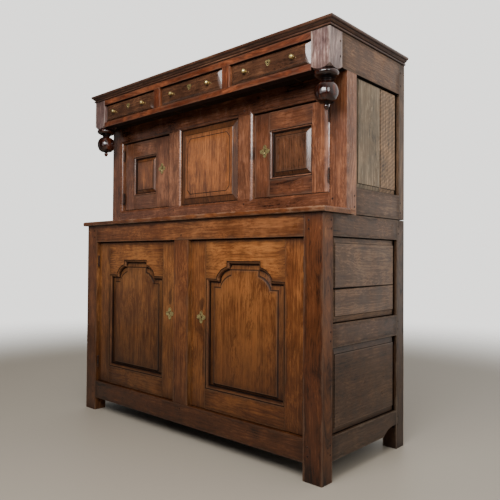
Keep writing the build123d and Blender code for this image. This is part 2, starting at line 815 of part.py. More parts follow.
# ---------------------------------------------------------------- panels
def slab(x, y, width, foot, head, crown, mode=Mode.ADD):
    """A panel's outline given thickness between two y planes: arched when crown has a width."""
    with BuildSketch(facing(y[1], x)) as face:
        if crown == 0:
            with Locations((0, (foot + head) / 2)):
                Rectangle(width, head - foot)
        else:
            side, top = width / 2, crown / 2
            spring = head + arch_step
            curve_top = spring + arch_rise
            crest = curve_top + crown_step
            chord = (arch_run**2 + arch_rise**2) ** 0.5
            mid_x = top + arch_run / 2 + arch_bulge * arch_rise / chord
            mid_z = spring + arch_rise / 2 + arch_bulge * arch_run / chord
            edge = top + arch_run
            with BuildLine():
                Polyline((edge, spring), (edge, head), (side, head), (side, foot), (-side, foot))
                Polyline((-side, foot), (-side, head), (-edge, head), (-edge, spring))
                ThreePointArc((-edge, spring), (-mid_x, mid_z), (-top, curve_top))
                Polyline((-top, curve_top), (-top, crest), (top, crest), (top, curve_top))
                ThreePointArc((top, curve_top), (mid_x, mid_z), (edge, spring))
            make_face()
    extrude(face.sketch, amount=y[1] - y[0], mode=mode)


def fielded(x, tongue_y, width, foot, head, margin, crown=0.0, field_crown=0.0):
    """A panel with a thin tongue all round and a raised field on its face."""
    tongue_crown = crown + 2 * tongue_depth if crown else 0
    slab(x, tongue_y, width + 2 * tongue_depth, foot - tongue_depth, head + tongue_depth, tongue_crown)
    field_y = (tongue_y[0] - field_rise, tongue_y[0])
    slab(x, field_y, width - 2 * margin, foot + margin, head - margin, field_crown)


with BuildPart() as centre_panel:
    fielded(0, centre_groove_y, 2 * centre_half, upper_sill, upper_head, upper_field_margin)
save("centre_panel", centre_panel)

# ---------------------------------------------------------------- doors
hinge_offset = knuckle_radius + knuckle_room


class Door:
    """Sizes of one door. side is -1 when its hinges are on its left and +1 on its right."""

    def __init__(self, x, z, frame_y, side, stiles, rails, field_margin, crowns, hinge_inset, key):
        self.x, self.z, self.side = x, z, side
        self.face = frame_y + door_recess
        self.y = (self.face, self.face + door_thickness)
        self.tongue_y = (self.face + door_tongue_setback, self.face + door_tongue_setback + tongue_thickness)
        self.leaf_x, self.leaf_z = grown(x, -door_gap), grown(z, -door_gap)
        self.stiles, self.rails = stiles, rails
        self.panel_x = (x[0] + stiles[0], x[1] - stiles[1])
        self.panel_z = (z[0] + rails[0], z[1] - rails[1])
        self.field_margin, self.crowns = field_margin, crowns
        self.hinge_edge = x[0] if side < 0 else x[1]
        self.pin = (self.hinge_edge - side * hinge_offset, self.face - hinge_offset)
        self.hinge_heights = (z[0] + hinge_inset, z[1] - hinge_inset)
        key_inset, key_height = key
        closing_edge = x[1] if side < 0 else x[0]
        self.key = (closing_edge + side * key_inset, key_height)

    def panel_middle(self):
        return sum(self.panel_x) / 2

    def panel_width(self):
        return self.panel_x[1] - self.panel_x[0]

    def opening(self, y, grow=0.0, mode=Mode.SUBTRACT):
        """The panel's opening, grown all round, between two y planes."""
        crown = self.crowns[0] + 2 * grow if self.crowns[0] else 0
        foot, head = self.panel_z
        slab(self.panel_middle(), y, self.panel_width() + 2 * grow, foot - grow, head + grow, crown, mode)


lower_z = (lower_sill, lower_head)
upper_z = (upper_sill, upper_head)
lower_stiles = (lower_door_stile, lower_door_stile)
lower_door_rails = (lower_door_bottom_rail, lower_door_shoulder_rail)
upper_door_rails = (upper_door_bottom_rail, upper_door_top_rail)
arch_crowns = (crown_width, field_crown_width)
no_crowns = (0.0, 0.0)
doors = {
    "lower_left_door": Door(
        (-leg_inside, -lower_muntin), lower_z, front, -1, lower_stiles, lower_door_rails,
        lower_field_margin, arch_crowns, lower_hinge_inset, (lower_left_key_inset, lower_key_height),
    ),
    "lower_right_door": Door(
        (lower_muntin, leg_inside), lower_z, front, 1, lower_stiles, lower_door_rails,
        lower_field_margin, arch_crowns, lower_hinge_inset, (lower_right_key_inset, lower_key_height),
    ),
    "upper_left_door": Door(
        (-upper_post_inside, -upper_post_inside + upper_door_width), upper_z, upper_front, -1,
        (upper_door_stile, upper_left_lock_stile), upper_door_rails, upper_field_margin,
        no_crowns, upper_hinge_inset, (upper_left_key_inset, upper_key_height),
    ),
    "upper_right_door": Door(
        (upper_post_inside - upper_door_width, upper_post_inside), upper_z, upper_front, 1,
        (upper_door_stile, upper_door_stile), upper_door_rails, upper_field_margin,
        no_crowns, upper_hinge_inset, (upper_right_key_inset, upper_key_height),
    ),
}


def key_slot(x, z, y, room=0.0):
    """Cuts a keyhole: a round hole with a slot under it."""
    with BuildSketch(facing(y[1], x)) as hole:
        with Locations((0, z)):
            Circle(keyhole_radius + room)
        with Locations((0, z - keyhole_slot / 2)):
            Rectangle(keyhole_radius + 2 * room, keyhole_slot)
    extrude(hole.sketch, amount=y[1] - y[0], mode=Mode.SUBTRACT)


def door_frame(door):
    """Two stiles, and two rails with tenons in them, a hairline apart."""
    low_x, high_x = door.leaf_x
    low_z, high_z = door.leaf_z
    inner_x = door.panel_x
    tenon_y = middle(door.y, tenon_thickness)
    reach = min(tenon_length, min(door.stiles) / 2)
    rails = [(low_z, door.panel_z[0]), (door.panel_z[1], high_z)]
    with BuildPart() as piece:
        block((low_x, inner_x[0] - joint_gap), door.y, door.leaf_z)
        block((inner_x[1] + joint_gap, high_x), door.y, door.leaf_z)
        for z in rails:
            tenon = ((inner_x[0] - reach, inner_x[1] + reach), tenon_y, grown(z, -tenon_shoulder))
            cut(*[grown(span, joint_gap) for span in tenon])
        for z in rails:
            tenon = ((inner_x[0] - reach, inner_x[1] + reach), tenon_y, grown(z, -tenon_shoulder))
            block(inner_x, door.y, z)
            block(*tenon)
        if door.crowns[0]:
            door.opening(door.y)
        door.opening(grown(door.tongue_y, joint_gap), tongue_depth + groove_room)
        for z in door.hinge_heights:
            cut(*leaf_spans(door, z))
        key_slot(*door.key, grown(door.y, cut_over))
    return piece


def leaf_spans(door, z):
    """The recess for a hinge leaf in the door's edge."""
    edge = door.leaf_x[0] if door.side < 0 else door.leaf_x[1]
    x = sorted((edge, edge - door.side * leaf_thickness))
    return (tuple(x), (door.face, door.face + leaf_depth), middle((z, z), leaf_height))


def door_panel(door):
    with BuildPart() as piece:
        foot, head = door.panel_z
        fielded(
            door.panel_middle(), door.tongue_y, door.panel_width(), foot, head,
            door.field_margin, *door.crowns,
        )
    return piece


def knuckles(door, z, first):
    """Every second knuckle of a hinge, as (low, high) heights."""
    knuckle = leaf_height / knuckle_count
    base = z - leaf_height / 2
    return [
        (base + n * knuckle + joint_gap / 2, base + (n + 1) * knuckle - joint_gap / 2)
        for n in range(first, knuckle_count, 2)
    ]


def barrel(pin, z, radius, mode=Mode.ADD):
    """An upright round on a hinge's pin line."""
    with Locations((*pin, (z[0] + z[1]) / 2)):
        Cylinder(radius, z[1] - z[0], mode=mode)


def door_ironwork(door):
    """The door's hinge leaves and its lock case."""
    with BuildPart() as piece:
        inward = -door.side
        for height in door.hinge_heights:
            leaf = leaf_spans(door, height)
            block(*leaf)
            for z in knuckles(door, height, 1):
                web_x = sorted((door.pin[0], door.pin[0] - inward * hinge_offset + inward * door_gap))
                web_x = (min(*web_x, leaf[0][0]), max(*web_x, leaf[0][1]))
                block(web_x, (door.pin[1] + pin_radius, door.face + leaf_thickness), z)
                barrel(door.pin, z, knuckle_radius)
        door_cut = [grown(door.leaf_x, -leaf_thickness), door.y, door.leaf_z]
        cut(*door_cut)
        for height in door.hinge_heights:
            barrel(door.pin, middle((height, height), leaf_height), pin_radius + pin_clearance, Mode.SUBTRACT)
        key_x, key_z = door.key
        lock_x = middle((key_x, key_x), lock_width)
        lock_y = (door.y[1], door.y[1] + lock_depth)
        block(lock_x, lock_y, middle((key_z, key_z), lock_height))
        key_slot(key_x, key_z, (lock_y[0], lock_y[0] + lock_depth / 2))
    return piece


def quatrefoil():
    """A pierced plate's outline: a lozenge with a rounded lobe at each corner."""
    reach, waist = door_plate_size / 2, door_plate_waist
    quarter = [(reach, 0), (waist, waist), (0, reach), (-waist, waist)]
    Polygon(*quarter, *[(-x, -z) for x, z in quarter], align=None)
    with PolarLocations(door_plate_lobe_reach, 4):
        Circle(door_plate_lobe)


def door_escutcheon(door):
    with BuildPart() as piece:
        with BuildSketch(facing(door.face, door.key[0])):
            with Locations((0, door.key[1])):
                quatrefoil()
        extrude(amount=plate_thickness)
        key_slot(*door.key, (door.face - 2 * plate_thickness, door.face))
    return piece


for door_name, door in doors.items():
    save(f"{door_name}_frame", door_frame(door))
    save(f"{door_name}_panel", door_panel(door))
    save(f"{door_name}_ironwork", door_ironwork(door))
    save(f"{door_name}_escutcheon", door_escutcheon(door))

with BuildPart() as hinge_frame_leaves:
    for door in doors.values():
        outward = door.side
        edge = door.hinge_edge
        leaf_x = tuple(sorted((edge, edge + outward * leaf_thickness)))
        leaf_y = (door.pin[1] - knuckle_radius / 2, door.face + leaf_depth)
        for height in door.hinge_heights:
            block(leaf_x, leaf_y, middle((height, height), leaf_height))
            for z in knuckles(door, height, 0):
                web_x = tuple(sorted((edge, door.pin[0])))
                block(web_x, middle((door.pin[1], door.pin[1]), leaf_thickness), z)
                barrel(door.pin, z, knuckle_radius)
            barrel(door.pin, middle((height, height), leaf_height), pin_radius)
save("hinge_frame_leaves", hinge_frame_leaves)


# ---------------------------------------------------------------- drawers
border_y = frieze_front + drawer_border_setback
front_back = border_y + drawer_front_thickness
rebate = drawer_side_thickness
side_bottom = drawer_sill + drawer_lift
side_top = drawer_head - drawer_side_drop
bottom_z = (side_bottom + drawer_bottom_lift, side_bottom + drawer_bottom_lift + drawer_bottom_thickness)
drawer_back = border_y + drawer_depth


def drawer_front(x):
    """A front with bevels up to its field, rebated behind for the sides and grooved for the bottom."""
    opening_z = (drawer_sill + drawer_lift, drawer_head - drawer_gap)
    wide = grown(x, -drawer_gap)
    with BuildPart() as piece:
        block(wide, (border_y, front_back), opening_z)
        bevels = ((border_y, 0, 0), (frieze_front + drawer_face_setback, drawer_end_bevel, drawer_edge_bevel))
        for plane_y, end_bevel, edge_bevel in bevels:
            with BuildSketch(facing(plane_y, sum(x) / 2)):
                with Locations((0, sum(opening_z) / 2)):
                    Rectangle(
                        wide[1] - wide[0] - 2 * end_bevel,
                        opening_z[1] - opening_z[0] - 2 * edge_bevel,
                    )
        loft()
        for end in ((wide[0], wide[0] + rebate + joint_gap), (wide[1] - rebate - joint_gap, wide[1])):
            cut(end, (front_back - rebate, front_back), grown(opening_z, cut_over))
        groove = (front_back - drawer_bottom_groove - joint_gap, front_back)
        cut(grown(wide, -rebate), groove, grown(bottom_z, joint_gap))
        knob_points = [(sum(x) / 2 + side * knob_spacing / 2, key_line) for side in (-1, 1)]
        with Locations(*[(px, (frieze_front + front_back) / 2, pz) for px, pz in knob_points]):
            Cylinder(
                knob_shank_radius + pin_clearance,
                2 * (front_back - frieze_front),
                rotation=(90, 0, 0),
                mode=Mode.SUBTRACT,
            )
        key_slot(sum(x) / 2, key_line, (frieze_front, front_back - rebate / 2))
    return piece


def drawer_box(x):
    """Sides, back and bottom boards, a hairline apart."""
    wide = grown(x, -drawer_gap)
    z = (side_bottom, side_top)
    side_y = (front_back - rebate + joint_gap, drawer_back)
    back_y = (drawer_back - 2 * drawer_side_thickness, drawer_back - drawer_side_thickness)
    left = (wide[0], wide[0] + drawer_side_thickness)
    right = (wide[1] - drawer_side_thickness, wide[1])
    between = (left[1] + joint_gap, right[0] - joint_gap)
    bottom_x = grown((left[1], right[0]), drawer_bottom_groove)
    bottom_y = (front_back - drawer_bottom_groove, drawer_back)
    with BuildPart() as piece:
        block(left, side_y, z)
        block(right, side_y, z)
        cut(grown(bottom_x, joint_gap), grown(side_y, cut_over), grown(bottom_z, joint_gap))
        block(between, back_y, (bottom_z[1] + joint_gap, side_top))
        block(bottom_x, bottom_y, bottom_z)
    return piece


def drawer_brasses(x):
    """Two turned knobs on their shanks, and the plate round the keyhole."""
    face = frieze_front + drawer_face_setback
    with BuildPart() as piece:
        for side in (-1, 1):
            knob_x = sum(x) / 2 + side * knob_spacing / 2
            with BuildSketch(Plane(origin=(knob_x, 0, key_line), x_dir=(1, 0, 0), z_dir=(0, 0, 1))):
                with BuildLine():
                    ball = face - knob_reach + knob_radius
                    neck = ball + (knob_radius**2 - knob_stem_radius**2) ** 0.5
                    rose = face - plate_thickness
                    Polyline(
                        (knob_stem_radius, neck),
                        (knob_stem_radius, rose),
                        (knob_rose_radius, rose),
                        (knob_rose_radius, face),
                        (knob_shank_radius, face),
                        (knob_shank_radius, front_back),
                        (0, front_back),
                        (0, ball - knob_radius),
                    )
                    ThreePointArc((0, ball - knob_radius), (knob_radius, ball), (knob_stem_radius, neck))
                make_face()
            revolve(axis=Axis((knob_x, 0, key_line), (0, 1, 0)))
        with BuildSketch(facing(face, sum(x) / 2)):
            with Locations(*[(lobe_x, key_line + lobe_z) for lobe_x, lobe_z in drawer_plate_centres]):
                Circle(drawer_plate_lobe)
        extrude(amount=plate_thickness)
        key_slot(sum(x) / 2, key_line, (face - 2 * plate_thickness, face))
    return piece


key_line = (drawer_sill + drawer_head) / 2 + drawer_plate_lobe
drawers = {
    "left_drawer": middle((-drawer_pitch, -drawer_pitch), drawer_width),
    "middle_drawer": middle((0, 0), drawer_width),
    "right_drawer": middle((drawer_pitch, drawer_pitch), drawer_width),
}
for drawer_name, drawer_x in drawers.items():
    save(f"{drawer_name}_front", drawer_front(drawer_x))
    save(f"{drawer_name}_box", drawer_box(drawer_x))
    save(f"{drawer_name}_brasses", drawer_brasses(drawer_x))
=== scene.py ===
"""A court cupboard in old waxed oak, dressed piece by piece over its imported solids."""

import math
import random

import bmesh
import bpy
from mathutils import Matrix, Vector


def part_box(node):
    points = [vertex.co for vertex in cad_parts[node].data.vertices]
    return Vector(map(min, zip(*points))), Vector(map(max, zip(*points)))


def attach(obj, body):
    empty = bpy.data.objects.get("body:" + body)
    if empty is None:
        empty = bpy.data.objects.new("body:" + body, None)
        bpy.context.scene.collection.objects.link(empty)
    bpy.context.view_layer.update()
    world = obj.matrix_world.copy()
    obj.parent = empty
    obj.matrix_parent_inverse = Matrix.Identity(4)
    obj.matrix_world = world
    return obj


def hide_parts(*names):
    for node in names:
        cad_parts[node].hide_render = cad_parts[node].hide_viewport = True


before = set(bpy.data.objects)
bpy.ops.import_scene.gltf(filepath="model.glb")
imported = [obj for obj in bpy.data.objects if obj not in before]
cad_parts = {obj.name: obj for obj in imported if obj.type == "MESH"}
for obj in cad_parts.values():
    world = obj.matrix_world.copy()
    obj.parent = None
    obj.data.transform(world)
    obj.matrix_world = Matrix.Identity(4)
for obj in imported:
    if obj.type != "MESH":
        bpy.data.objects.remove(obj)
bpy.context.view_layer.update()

# ---------------------------------------------------------------- the lower frame
# The front of the lower stage: two legs and two rails with a muntin between them, of riven oak,
# tenoned and pegged, with every arris worn round by hands and cloths. The oak's finish and the
# way that any board is eased and grained are settled here, with the first timber.
MM = 0.001


def stain(red, green, blue):
    """A colour as it looks, from 0 to 255, turned into the share of light that it returns."""
    return tuple((part / 255) ** 2.2 for part in (red, green, blue)) + (1.0,)


def put(tree, kind, values=None, **settings):
    """Adds a node to a finish. Settings are its own choices and values feed its sockets."""
    made = tree.nodes.new(kind)
    for name, value in settings.items():
        setattr(made, name, value)
    for name, value in (values or {}).items():
        if isinstance(value, bpy.types.NodeSocket):
            tree.links.new(value, made.inputs[name])
        else:
            made.inputs[name].default_value = value
    return made


def sum_of(tree, operation, first, second=0.0, third=0.0, clamp=False):
    """One step of arithmetic in a finish."""
    values = {0: first, 1: second}
    if operation == "MULTIPLY_ADD":
        values[2] = third
    return put(tree, "ShaderNodeMath", values, operation=operation, use_clamp=clamp).outputs[0]


def stirred(tree, level, noise, share):
    """A level moved up and down by noise."""
    return sum_of(tree, "MULTIPLY_ADD", sum_of(tree, "SUBTRACT", noise, 0.5), share, level)


def moved(tree, operation, first, second=(0.0, 0.0, 0.0)):
    """One step of arithmetic with places."""
    made = put(tree, "ShaderNodeVectorMath", {0: first, 1: second}, operation=operation).outputs
    return made["Value" if operation in ("LENGTH", "DOT_PRODUCT") else "Vector"]


def parts_of(tree, place):
    """The X, Y and Z of a place."""
    return put(tree, "ShaderNodeSeparateXYZ", {0: place}).outputs


def fade(tree, value, start, end, low=0.0, high=1.0):
    """A smooth passage from low to high while the value goes from start to end."""
    values = {"Value": value, "From Min": start, "From Max": end, "To Min": low, "To Max": high}
    return put(tree, "ShaderNodeMapRange", values, interpolation_type="SMOOTHSTEP").outputs[0]


def laid_over(tree, share, under, over, way="MIX"):
    """One colour over another."""
    values = {0: share, 6: under, 7: over}
    return put(tree, "ShaderNodeMix", values, data_type="RGBA", blend_type=way).outputs[2]


def lumps(tree, where, per_metre, detail=2.0, rough=0.5, wander=0.0):
    """Soft lumps, so many in a metre along each axis."""
    values = {"Vector": moved(tree, "MULTIPLY", where, per_metre), "Scale": 1.0}
    values.update({"Detail": detail, "Roughness": rough, "Distortion": wander})
    return put(tree, "ShaderNodeTexNoise", values).outputs[0]


def sockets(tree, taken, given):
    """Names what a shared effect takes and gives."""
    kinds = {float: "NodeSocketFloat", tuple: "NodeSocketColor"}
    for name, value in taken.items():
        socket = tree.interface.new_socket(name, in_out="INPUT", socket_type=kinds[type(value)])
        socket.default_value = value
    for name, kind in given.items():
        tree.interface.new_socket(name, in_out="OUTPUT", socket_type=kinds[kind])
    return tree.nodes.new("NodeGroupInput").outputs, tree.nodes.new("NodeGroupOutput").inputs


def old_oak_effect():
    """Streaks, pores, cracks, patina, rubbed arrises, dirt, painted shade and a painted sheen
    for any oak board.
    """
    tree = bpy.data.node_groups.new("old_oak", "ShaderNodeTree")
    taken, given = sockets(
        tree,
        {
            "Deep": stain(30, 14, 7), "Middle": stain(81, 45, 23), "Pale": stain(121, 77, 43),
            "Streaks": 0.5, "Clouds": 1.0, "Rings": 0.15, "Wear": 0.6, "Grime": 0.6, "Polish": 0.25,
            "Shade": 0.5, "Coat": 0.5, "Dry": 0.0,
        },
        {"Color": tuple, "Roughness": float, "Coat": float, "Height": float},
    )
    written = {
        key: put(tree, "ShaderNodeAttribute", attribute_name=key).outputs
        for key in ("grain", "tone", "place", "reach", "dirt_and_shade_marks", "rub")
    }
    grain, dirt_and_shade_marks, rub = written["grain"]["Vector"], written["dirt_and_shade_marks"]["Fac"], written["rub"]["Fac"]
    light, red, hatched = parts_of(tree, written["tone"]["Vector"])
    case = put(tree, "ShaderNodeTexCoord").outputs["Object"]
    facing = parts_of(tree, put(tree, "ShaderNodeNewGeometry").outputs["Normal"])
    # faces turned to either side, as far as Dry asks: a drier finish and a painted sheen
    dry_sides_and_sheen = fade(tree, sum_of(tree, "ABSOLUTE", facing["X"]), 0.75, 0.96)
    dry_sides_and_sheen = sum_of(tree, "MULTIPLY", dry_sides_and_sheen, taken["Dry"])

    def banded(where, axis, scale, distortion, detail, detail_scale):
        """Waves along an axis, bent by noise."""
        values = {"Vector": where, "Scale": scale, "Distortion": distortion}
        values.update({"Detail": detail, "Detail Scale": detail_scale})
        wave = put(tree, "ShaderNodeTexWave", values, wave_type="BANDS", bands_direction=axis)
        return wave.outputs["Fac"]

    def most(strongest, *others):
        """The strongest of some masks."""
        for mask in others:
            strongest = sum_of(tree, "MAXIMUM", strongest, mask, clamp=True)
        return strongest

    # grain that wanders a little along the board
    sway = lumps(tree, grain, (2.2, 9.0, 9.0), 1.0)
    wavy = moved(tree, "ADD", grain, moved(tree, "MULTIPLY", sway, (0.0, 0.03, 0.3)))
    streak = lumps(tree, wavy, (4.0, 100.0, 100.0), 4.0, 0.65)
    figure = lumps(tree, wavy, (2.2, 26.0, 26.0), 2.0, 0.5, 0.4)
    fibre = lumps(tree, wavy, (18.0, 290.0, 290.0), 3.0, 0.65)
    mottle = lumps(tree, wavy, (24.0, 130.0, 130.0), 2.0, 0.6)
    fleck = fade(tree, lumps(tree, wavy, (38.0, 210.0, 210.0), 1.0), 0.60, 0.74)
    pore = fade(tree, lumps(tree, wavy, (18.0, 520.0, 520.0), 1.0), 0.60, 0.70)
    rings = banded(moved(tree, "MULTIPLY", wavy, (1.4, 12.0, 12.0)), "Y", 2.2, 7.0, 2.0, 0.8)
    sawn = put(tree, "ShaderNodeMapping", {"Vector": grain, "Rotation": (0.0, 0.0, 0.55)}).outputs[0]
    hatch = banded(sawn, "X", 22.0, 3.5, 3.0, 3.0)

    # patina that lies over the whole case, and shakes where the grain has parted
    cloud = lumps(tree, case, (4.6, 4.6, 3.6), 3.0, 0.55, 0.3)
    blotch = lumps(tree, case, (19.0, 19.0, 13.0), 3.0, 0.6)
    speck = fade(tree, lumps(tree, case, (230.0, 230.0, 170.0), 2.0, 0.7), 0.63, 0.76)
    shake = sum_of(tree, "SUBTRACT", lumps(tree, wavy, (0.8, 30.0, 30.0), 1.0), 0.5)
    shake = fade(tree, sum_of(tree, "ABSOLUTE", shake), 0.0, 0.006, 1.0, 0.0)
    shake = sum_of(tree, "MULTIPLY", shake, fade(tree, blotch, 0.5, 0.64))

    # the colour of the wood, with painted shade that darkens it towards the floor, and a painted
    # sheen, paler and greyer, on faces turned to either side, whose finish is also drier
    level = sum_of(tree, "ADD", light, 0.5)
    for noise, share in (
        (streak, taken["Streaks"]), (fibre, 0.55), (rings, taken["Rings"]), (cloud, taken["Clouds"]),
        (figure, 0.5), (blotch, 0.5), (mottle, 0.45), (hatch, hatched),
    ):
        level = stirred(tree, level, noise, share)
    level = sum_of(tree, "MULTIPLY_ADD", pore, -0.14, level)
    level = sum_of(tree, "MULTIPLY_ADD", fleck, 0.1, level)
    wood = laid_over(tree, fade(tree, level, 0.0, 0.5), taken["Deep"], taken["Middle"])
    wood = laid_over(tree, fade(tree, level, 0.45, 1.0), wood, taken["Pale"])
    hue = stirred(tree, stirred(tree, red, blotch, 1.2), figure, 0.8)
    hue = sum_of(tree, "MULTIPLY_ADD", hue, 0.5, 0.5, clamp=True)
    cast = laid_over(tree, hue, (0.86, 1.0, 1.16, 1.0), (1.2, 0.93, 0.76, 1.0))
    wood = laid_over(tree, 1.0, wood, cast, "MULTIPLY")
    # painted shade: darker towards the floor, as far as Shade asks
    foot = fade(tree, parts_of(tree, case)["Z"], 0.0, 1.0, 1.0, 0.0)
    foot = sum_of(tree, "MULTIPLY", foot, taken["Shade"])
    wood = laid_over(tree, foot, wood, (0.22, 0.18, 0.15, 1.0), "MULTIPLY")
    # painted sheen: faces turned to either side are made paler and greyer
    wood = laid_over(tree, dry_sides_and_sheen, wood, (1.35, 1.6, 1.7, 1.0), "MULTIPLY")

    # arrises rubbed pale; joints, shakes and specks dark with dirt; strips along the arrises a little
    # darker; the ends of boards, where they meet others, and the hollows marked in the mesh darkened
    # with dirt and painted shade; undersides darkened with painted shade
    from_middle = moved(tree, "ABSOLUTE", written["place"]["Vector"])
    gaps = moved(tree, "SUBTRACT", written["reach"]["Vector"], from_middle)
    to_end, to_side, to_face = parts_of(tree, gaps)
    arris = sum_of(tree, "MAXIMUM", to_side, to_face)
    ragged = sum_of(tree, "MULTIPLY_ADD", sum_of(tree, "SUBTRACT", blotch, 0.52), 0.03, arris)
    rubbed = sum_of(tree, "MULTIPLY", fade(tree, ragged, 0.0002, 0.0065, 1.0, 0.0), taken["Wear"])
    rubbed = most(sum_of(tree, "MULTIPLY", rubbed, written["tone"]["Alpha"]), rub)
    worn = laid_over(tree, 0.2, taken["Pale"], stain(186, 168, 152))
    wood = laid_over(tree, rubbed, wood, worn)
    joint = fade(tree, to_end, 0.0002, 0.0016, 1.0, 0.0)
    # the ends of boards, where they meet others: dirt and painted shade
    corner = fade(tree, stirred(tree, to_end, blotch, -0.1), 0.0, 0.05, 1.0, 0.0)
    edge = fade(tree, stirred(tree, arris, blotch, 0.04), 0.002, 0.018, 0.4, 0.0)
    dirt_and_shade_share = most(joint, sum_of(tree, "MULTIPLY", corner, 0.45), edge)
    dirt_and_shade_share = most(
        sum_of(tree, "MULTIPLY", dirt_and_shade_share, taken["Grime"]), sum_of(tree, "MULTIPLY", shake, 0.5),
        # undersides: painted shade
        sum_of(tree, "MULTIPLY", speck, 0.4), fade(tree, facing["Z"], -0.99, -0.8, 0.97, 0.0), dirt_and_shade_marks,
    )
    dirt_and_shade = laid_over(tree, 1.0, taken["Deep"], (0.22, 0.22, 0.24, 1.0), "MULTIPLY")
    tree.links.new(laid_over(tree, dirt_and_shade_share, wood, dirt_and_shade), given["Color"])

    # gloss, which dirt, painted shade and dryness take away, and the relief of dents, grain and shakes
    rough = stirred(tree, stirred(tree, taken["Polish"], streak, 0.16), blotch, 0.3)
    rough = sum_of(tree, "MULTIPLY_ADD", dirt_and_shade_share, 0.4, rough)
    rough = sum_of(tree, "MULTIPLY_ADD", pore, 0.1, rough)
    tree.links.new(sum_of(tree, "MAXIMUM", rough, 0.09), given["Roughness"])
    clean = sum_of(tree, "MULTIPLY_ADD", most(dirt_and_shade_share, dry_sides_and_sheen), -0.8, 1.0)
    tree.links.new(sum_of(tree, "MULTIPLY", clean, taken["Coat"]), given["Coat"])
    swell = lumps(tree, case, (11.0, 11.0, 7.0), 1.0)
    dent = lumps(tree, case, (60.0, 60.0, 40.0), 2.0)
    height = 0.0
    for relief, share in (
        (swell, 0.5), (dent, 0.25), (streak, 0.1), (fibre, 0.05), (pore, -0.07), (shake, -0.25),
    ):
        height = sum_of(tree, "MULTIPLY_ADD", relief, share, height)
    tree.links.new(height, given["Height"])
    return tree


old_oak = old_oak_effect()


def new_finish(name):
    """A new material, its nodes and its shader."""
    material = bpy.data.materials.new(name)
    material.use_nodes = True
    return material, material.node_tree, material.node_tree.nodes["Principled BSDF"]


def oak(name, deep, middle, pale, polish=0.3, coat=0.5, scars=(), **shares):
    """A finish of oak: three colours, its polish, and old dark stains of a place and a size."""
    material, tree, shader = new_finish(name)
    effect = put(tree, "ShaderNodeGroup", node_tree=old_oak)
    # shade: painted shade towards the floor; dry: a drier finish with a painted sheen on side faces
    shares.update(deep=stain(*deep), middle=stain(*middle), pale=stain(*pale), polish=polish, coat=coat)
    for key, value in shares.items():
        effect.inputs[key.capitalize()].default_value = value
    colour = effect.outputs["Color"]
    for place, size, strength in scars:
        case = put(tree, "ShaderNodeTexCoord").outputs["Object"]
        ragged = lumps(tree, case, (60.0, 60.0, 40.0), 2.0)
        offset = moved(tree, "SUBTRACT", case, Vector(place) * MM)
        far = moved(tree, "LENGTH", moved(tree, "DIVIDE", offset, Vector(size) * MM))
        far = stirred(tree, far, ragged, 1.6)
        colour = laid_over(tree, fade(tree, far, 0.6, 1.2, strength, 0.0), colour, stain(22, 12, 8))
    bump = put(tree, "ShaderNodeBump", {"Height": effect.outputs["Height"], "Distance": MM})
    tree.links.new(colour, shader.inputs["Base Color"])
    tree.links.new(effect.outputs["Roughness"], shader.inputs["Roughness"])
    tree.links.new(effect.outputs["Coat"], shader.inputs["Coat Weight"])
    tree.links.new(bump.outputs[0], shader.inputs["Normal"])
    shader.inputs["Coat Roughness"].default_value = 0.13
    shader.inputs["Specular IOR Level"].default_value = 0.2
    return material


def copied(node):
    """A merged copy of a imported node, with its flat faces in one piece again."""
    mesh = bmesh.new()
    mesh.from_mesh(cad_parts[node].data)
    bmesh.ops.remove_doubles(mesh, verts=mesh.verts, dist=0.01 * MM)
    bmesh.ops.dissolve_limit(mesh, angle_limit=math.radians(0.4), verts=mesh.verts, edges=mesh.edges)
    return mesh


sharp_turn = math.radians(38)


def planed(mesh, ease, shortest=6.0):
    """Eases every long sharp arris of a mesh by so many millimetres."""
    sharp = [
        edge for edge in mesh.edges
        if edge.is_manifold and edge.is_convex
        and edge.calc_face_angle() > sharp_turn and edge.calc_length() > shortest * MM
    ]
    bmesh.ops.bevel(
        mesh, geom=sharp, offset=ease * MM, segments=2, profile=0.5, affect="EDGES", clamp_overlap=True
    )
    return mesh


def loose_boards(mesh):
    """The separate boards of a mesh, each a list of faces."""
    for face in mesh.faces:
        face.tag = False
    for first in mesh.faces:
        if first.tag:
            continue
        first.tag = True
        board = [first]
        for face in board:
            for vert in face.verts:
                for other in vert.link_faces:
                    if not other.tag:
                        other.tag = True
                        board.append(other)
        yield board


def reach_of(board):
    """The points of a board, and the lowest and the highest corner round them."""
    points = list({vert: vert.co for face in board for vert in face.verts}.values())
    low, high = (Vector([pick(p[axis] for p in points) for axis in range(3)]) for pick in (min, max))
    return points, low, high


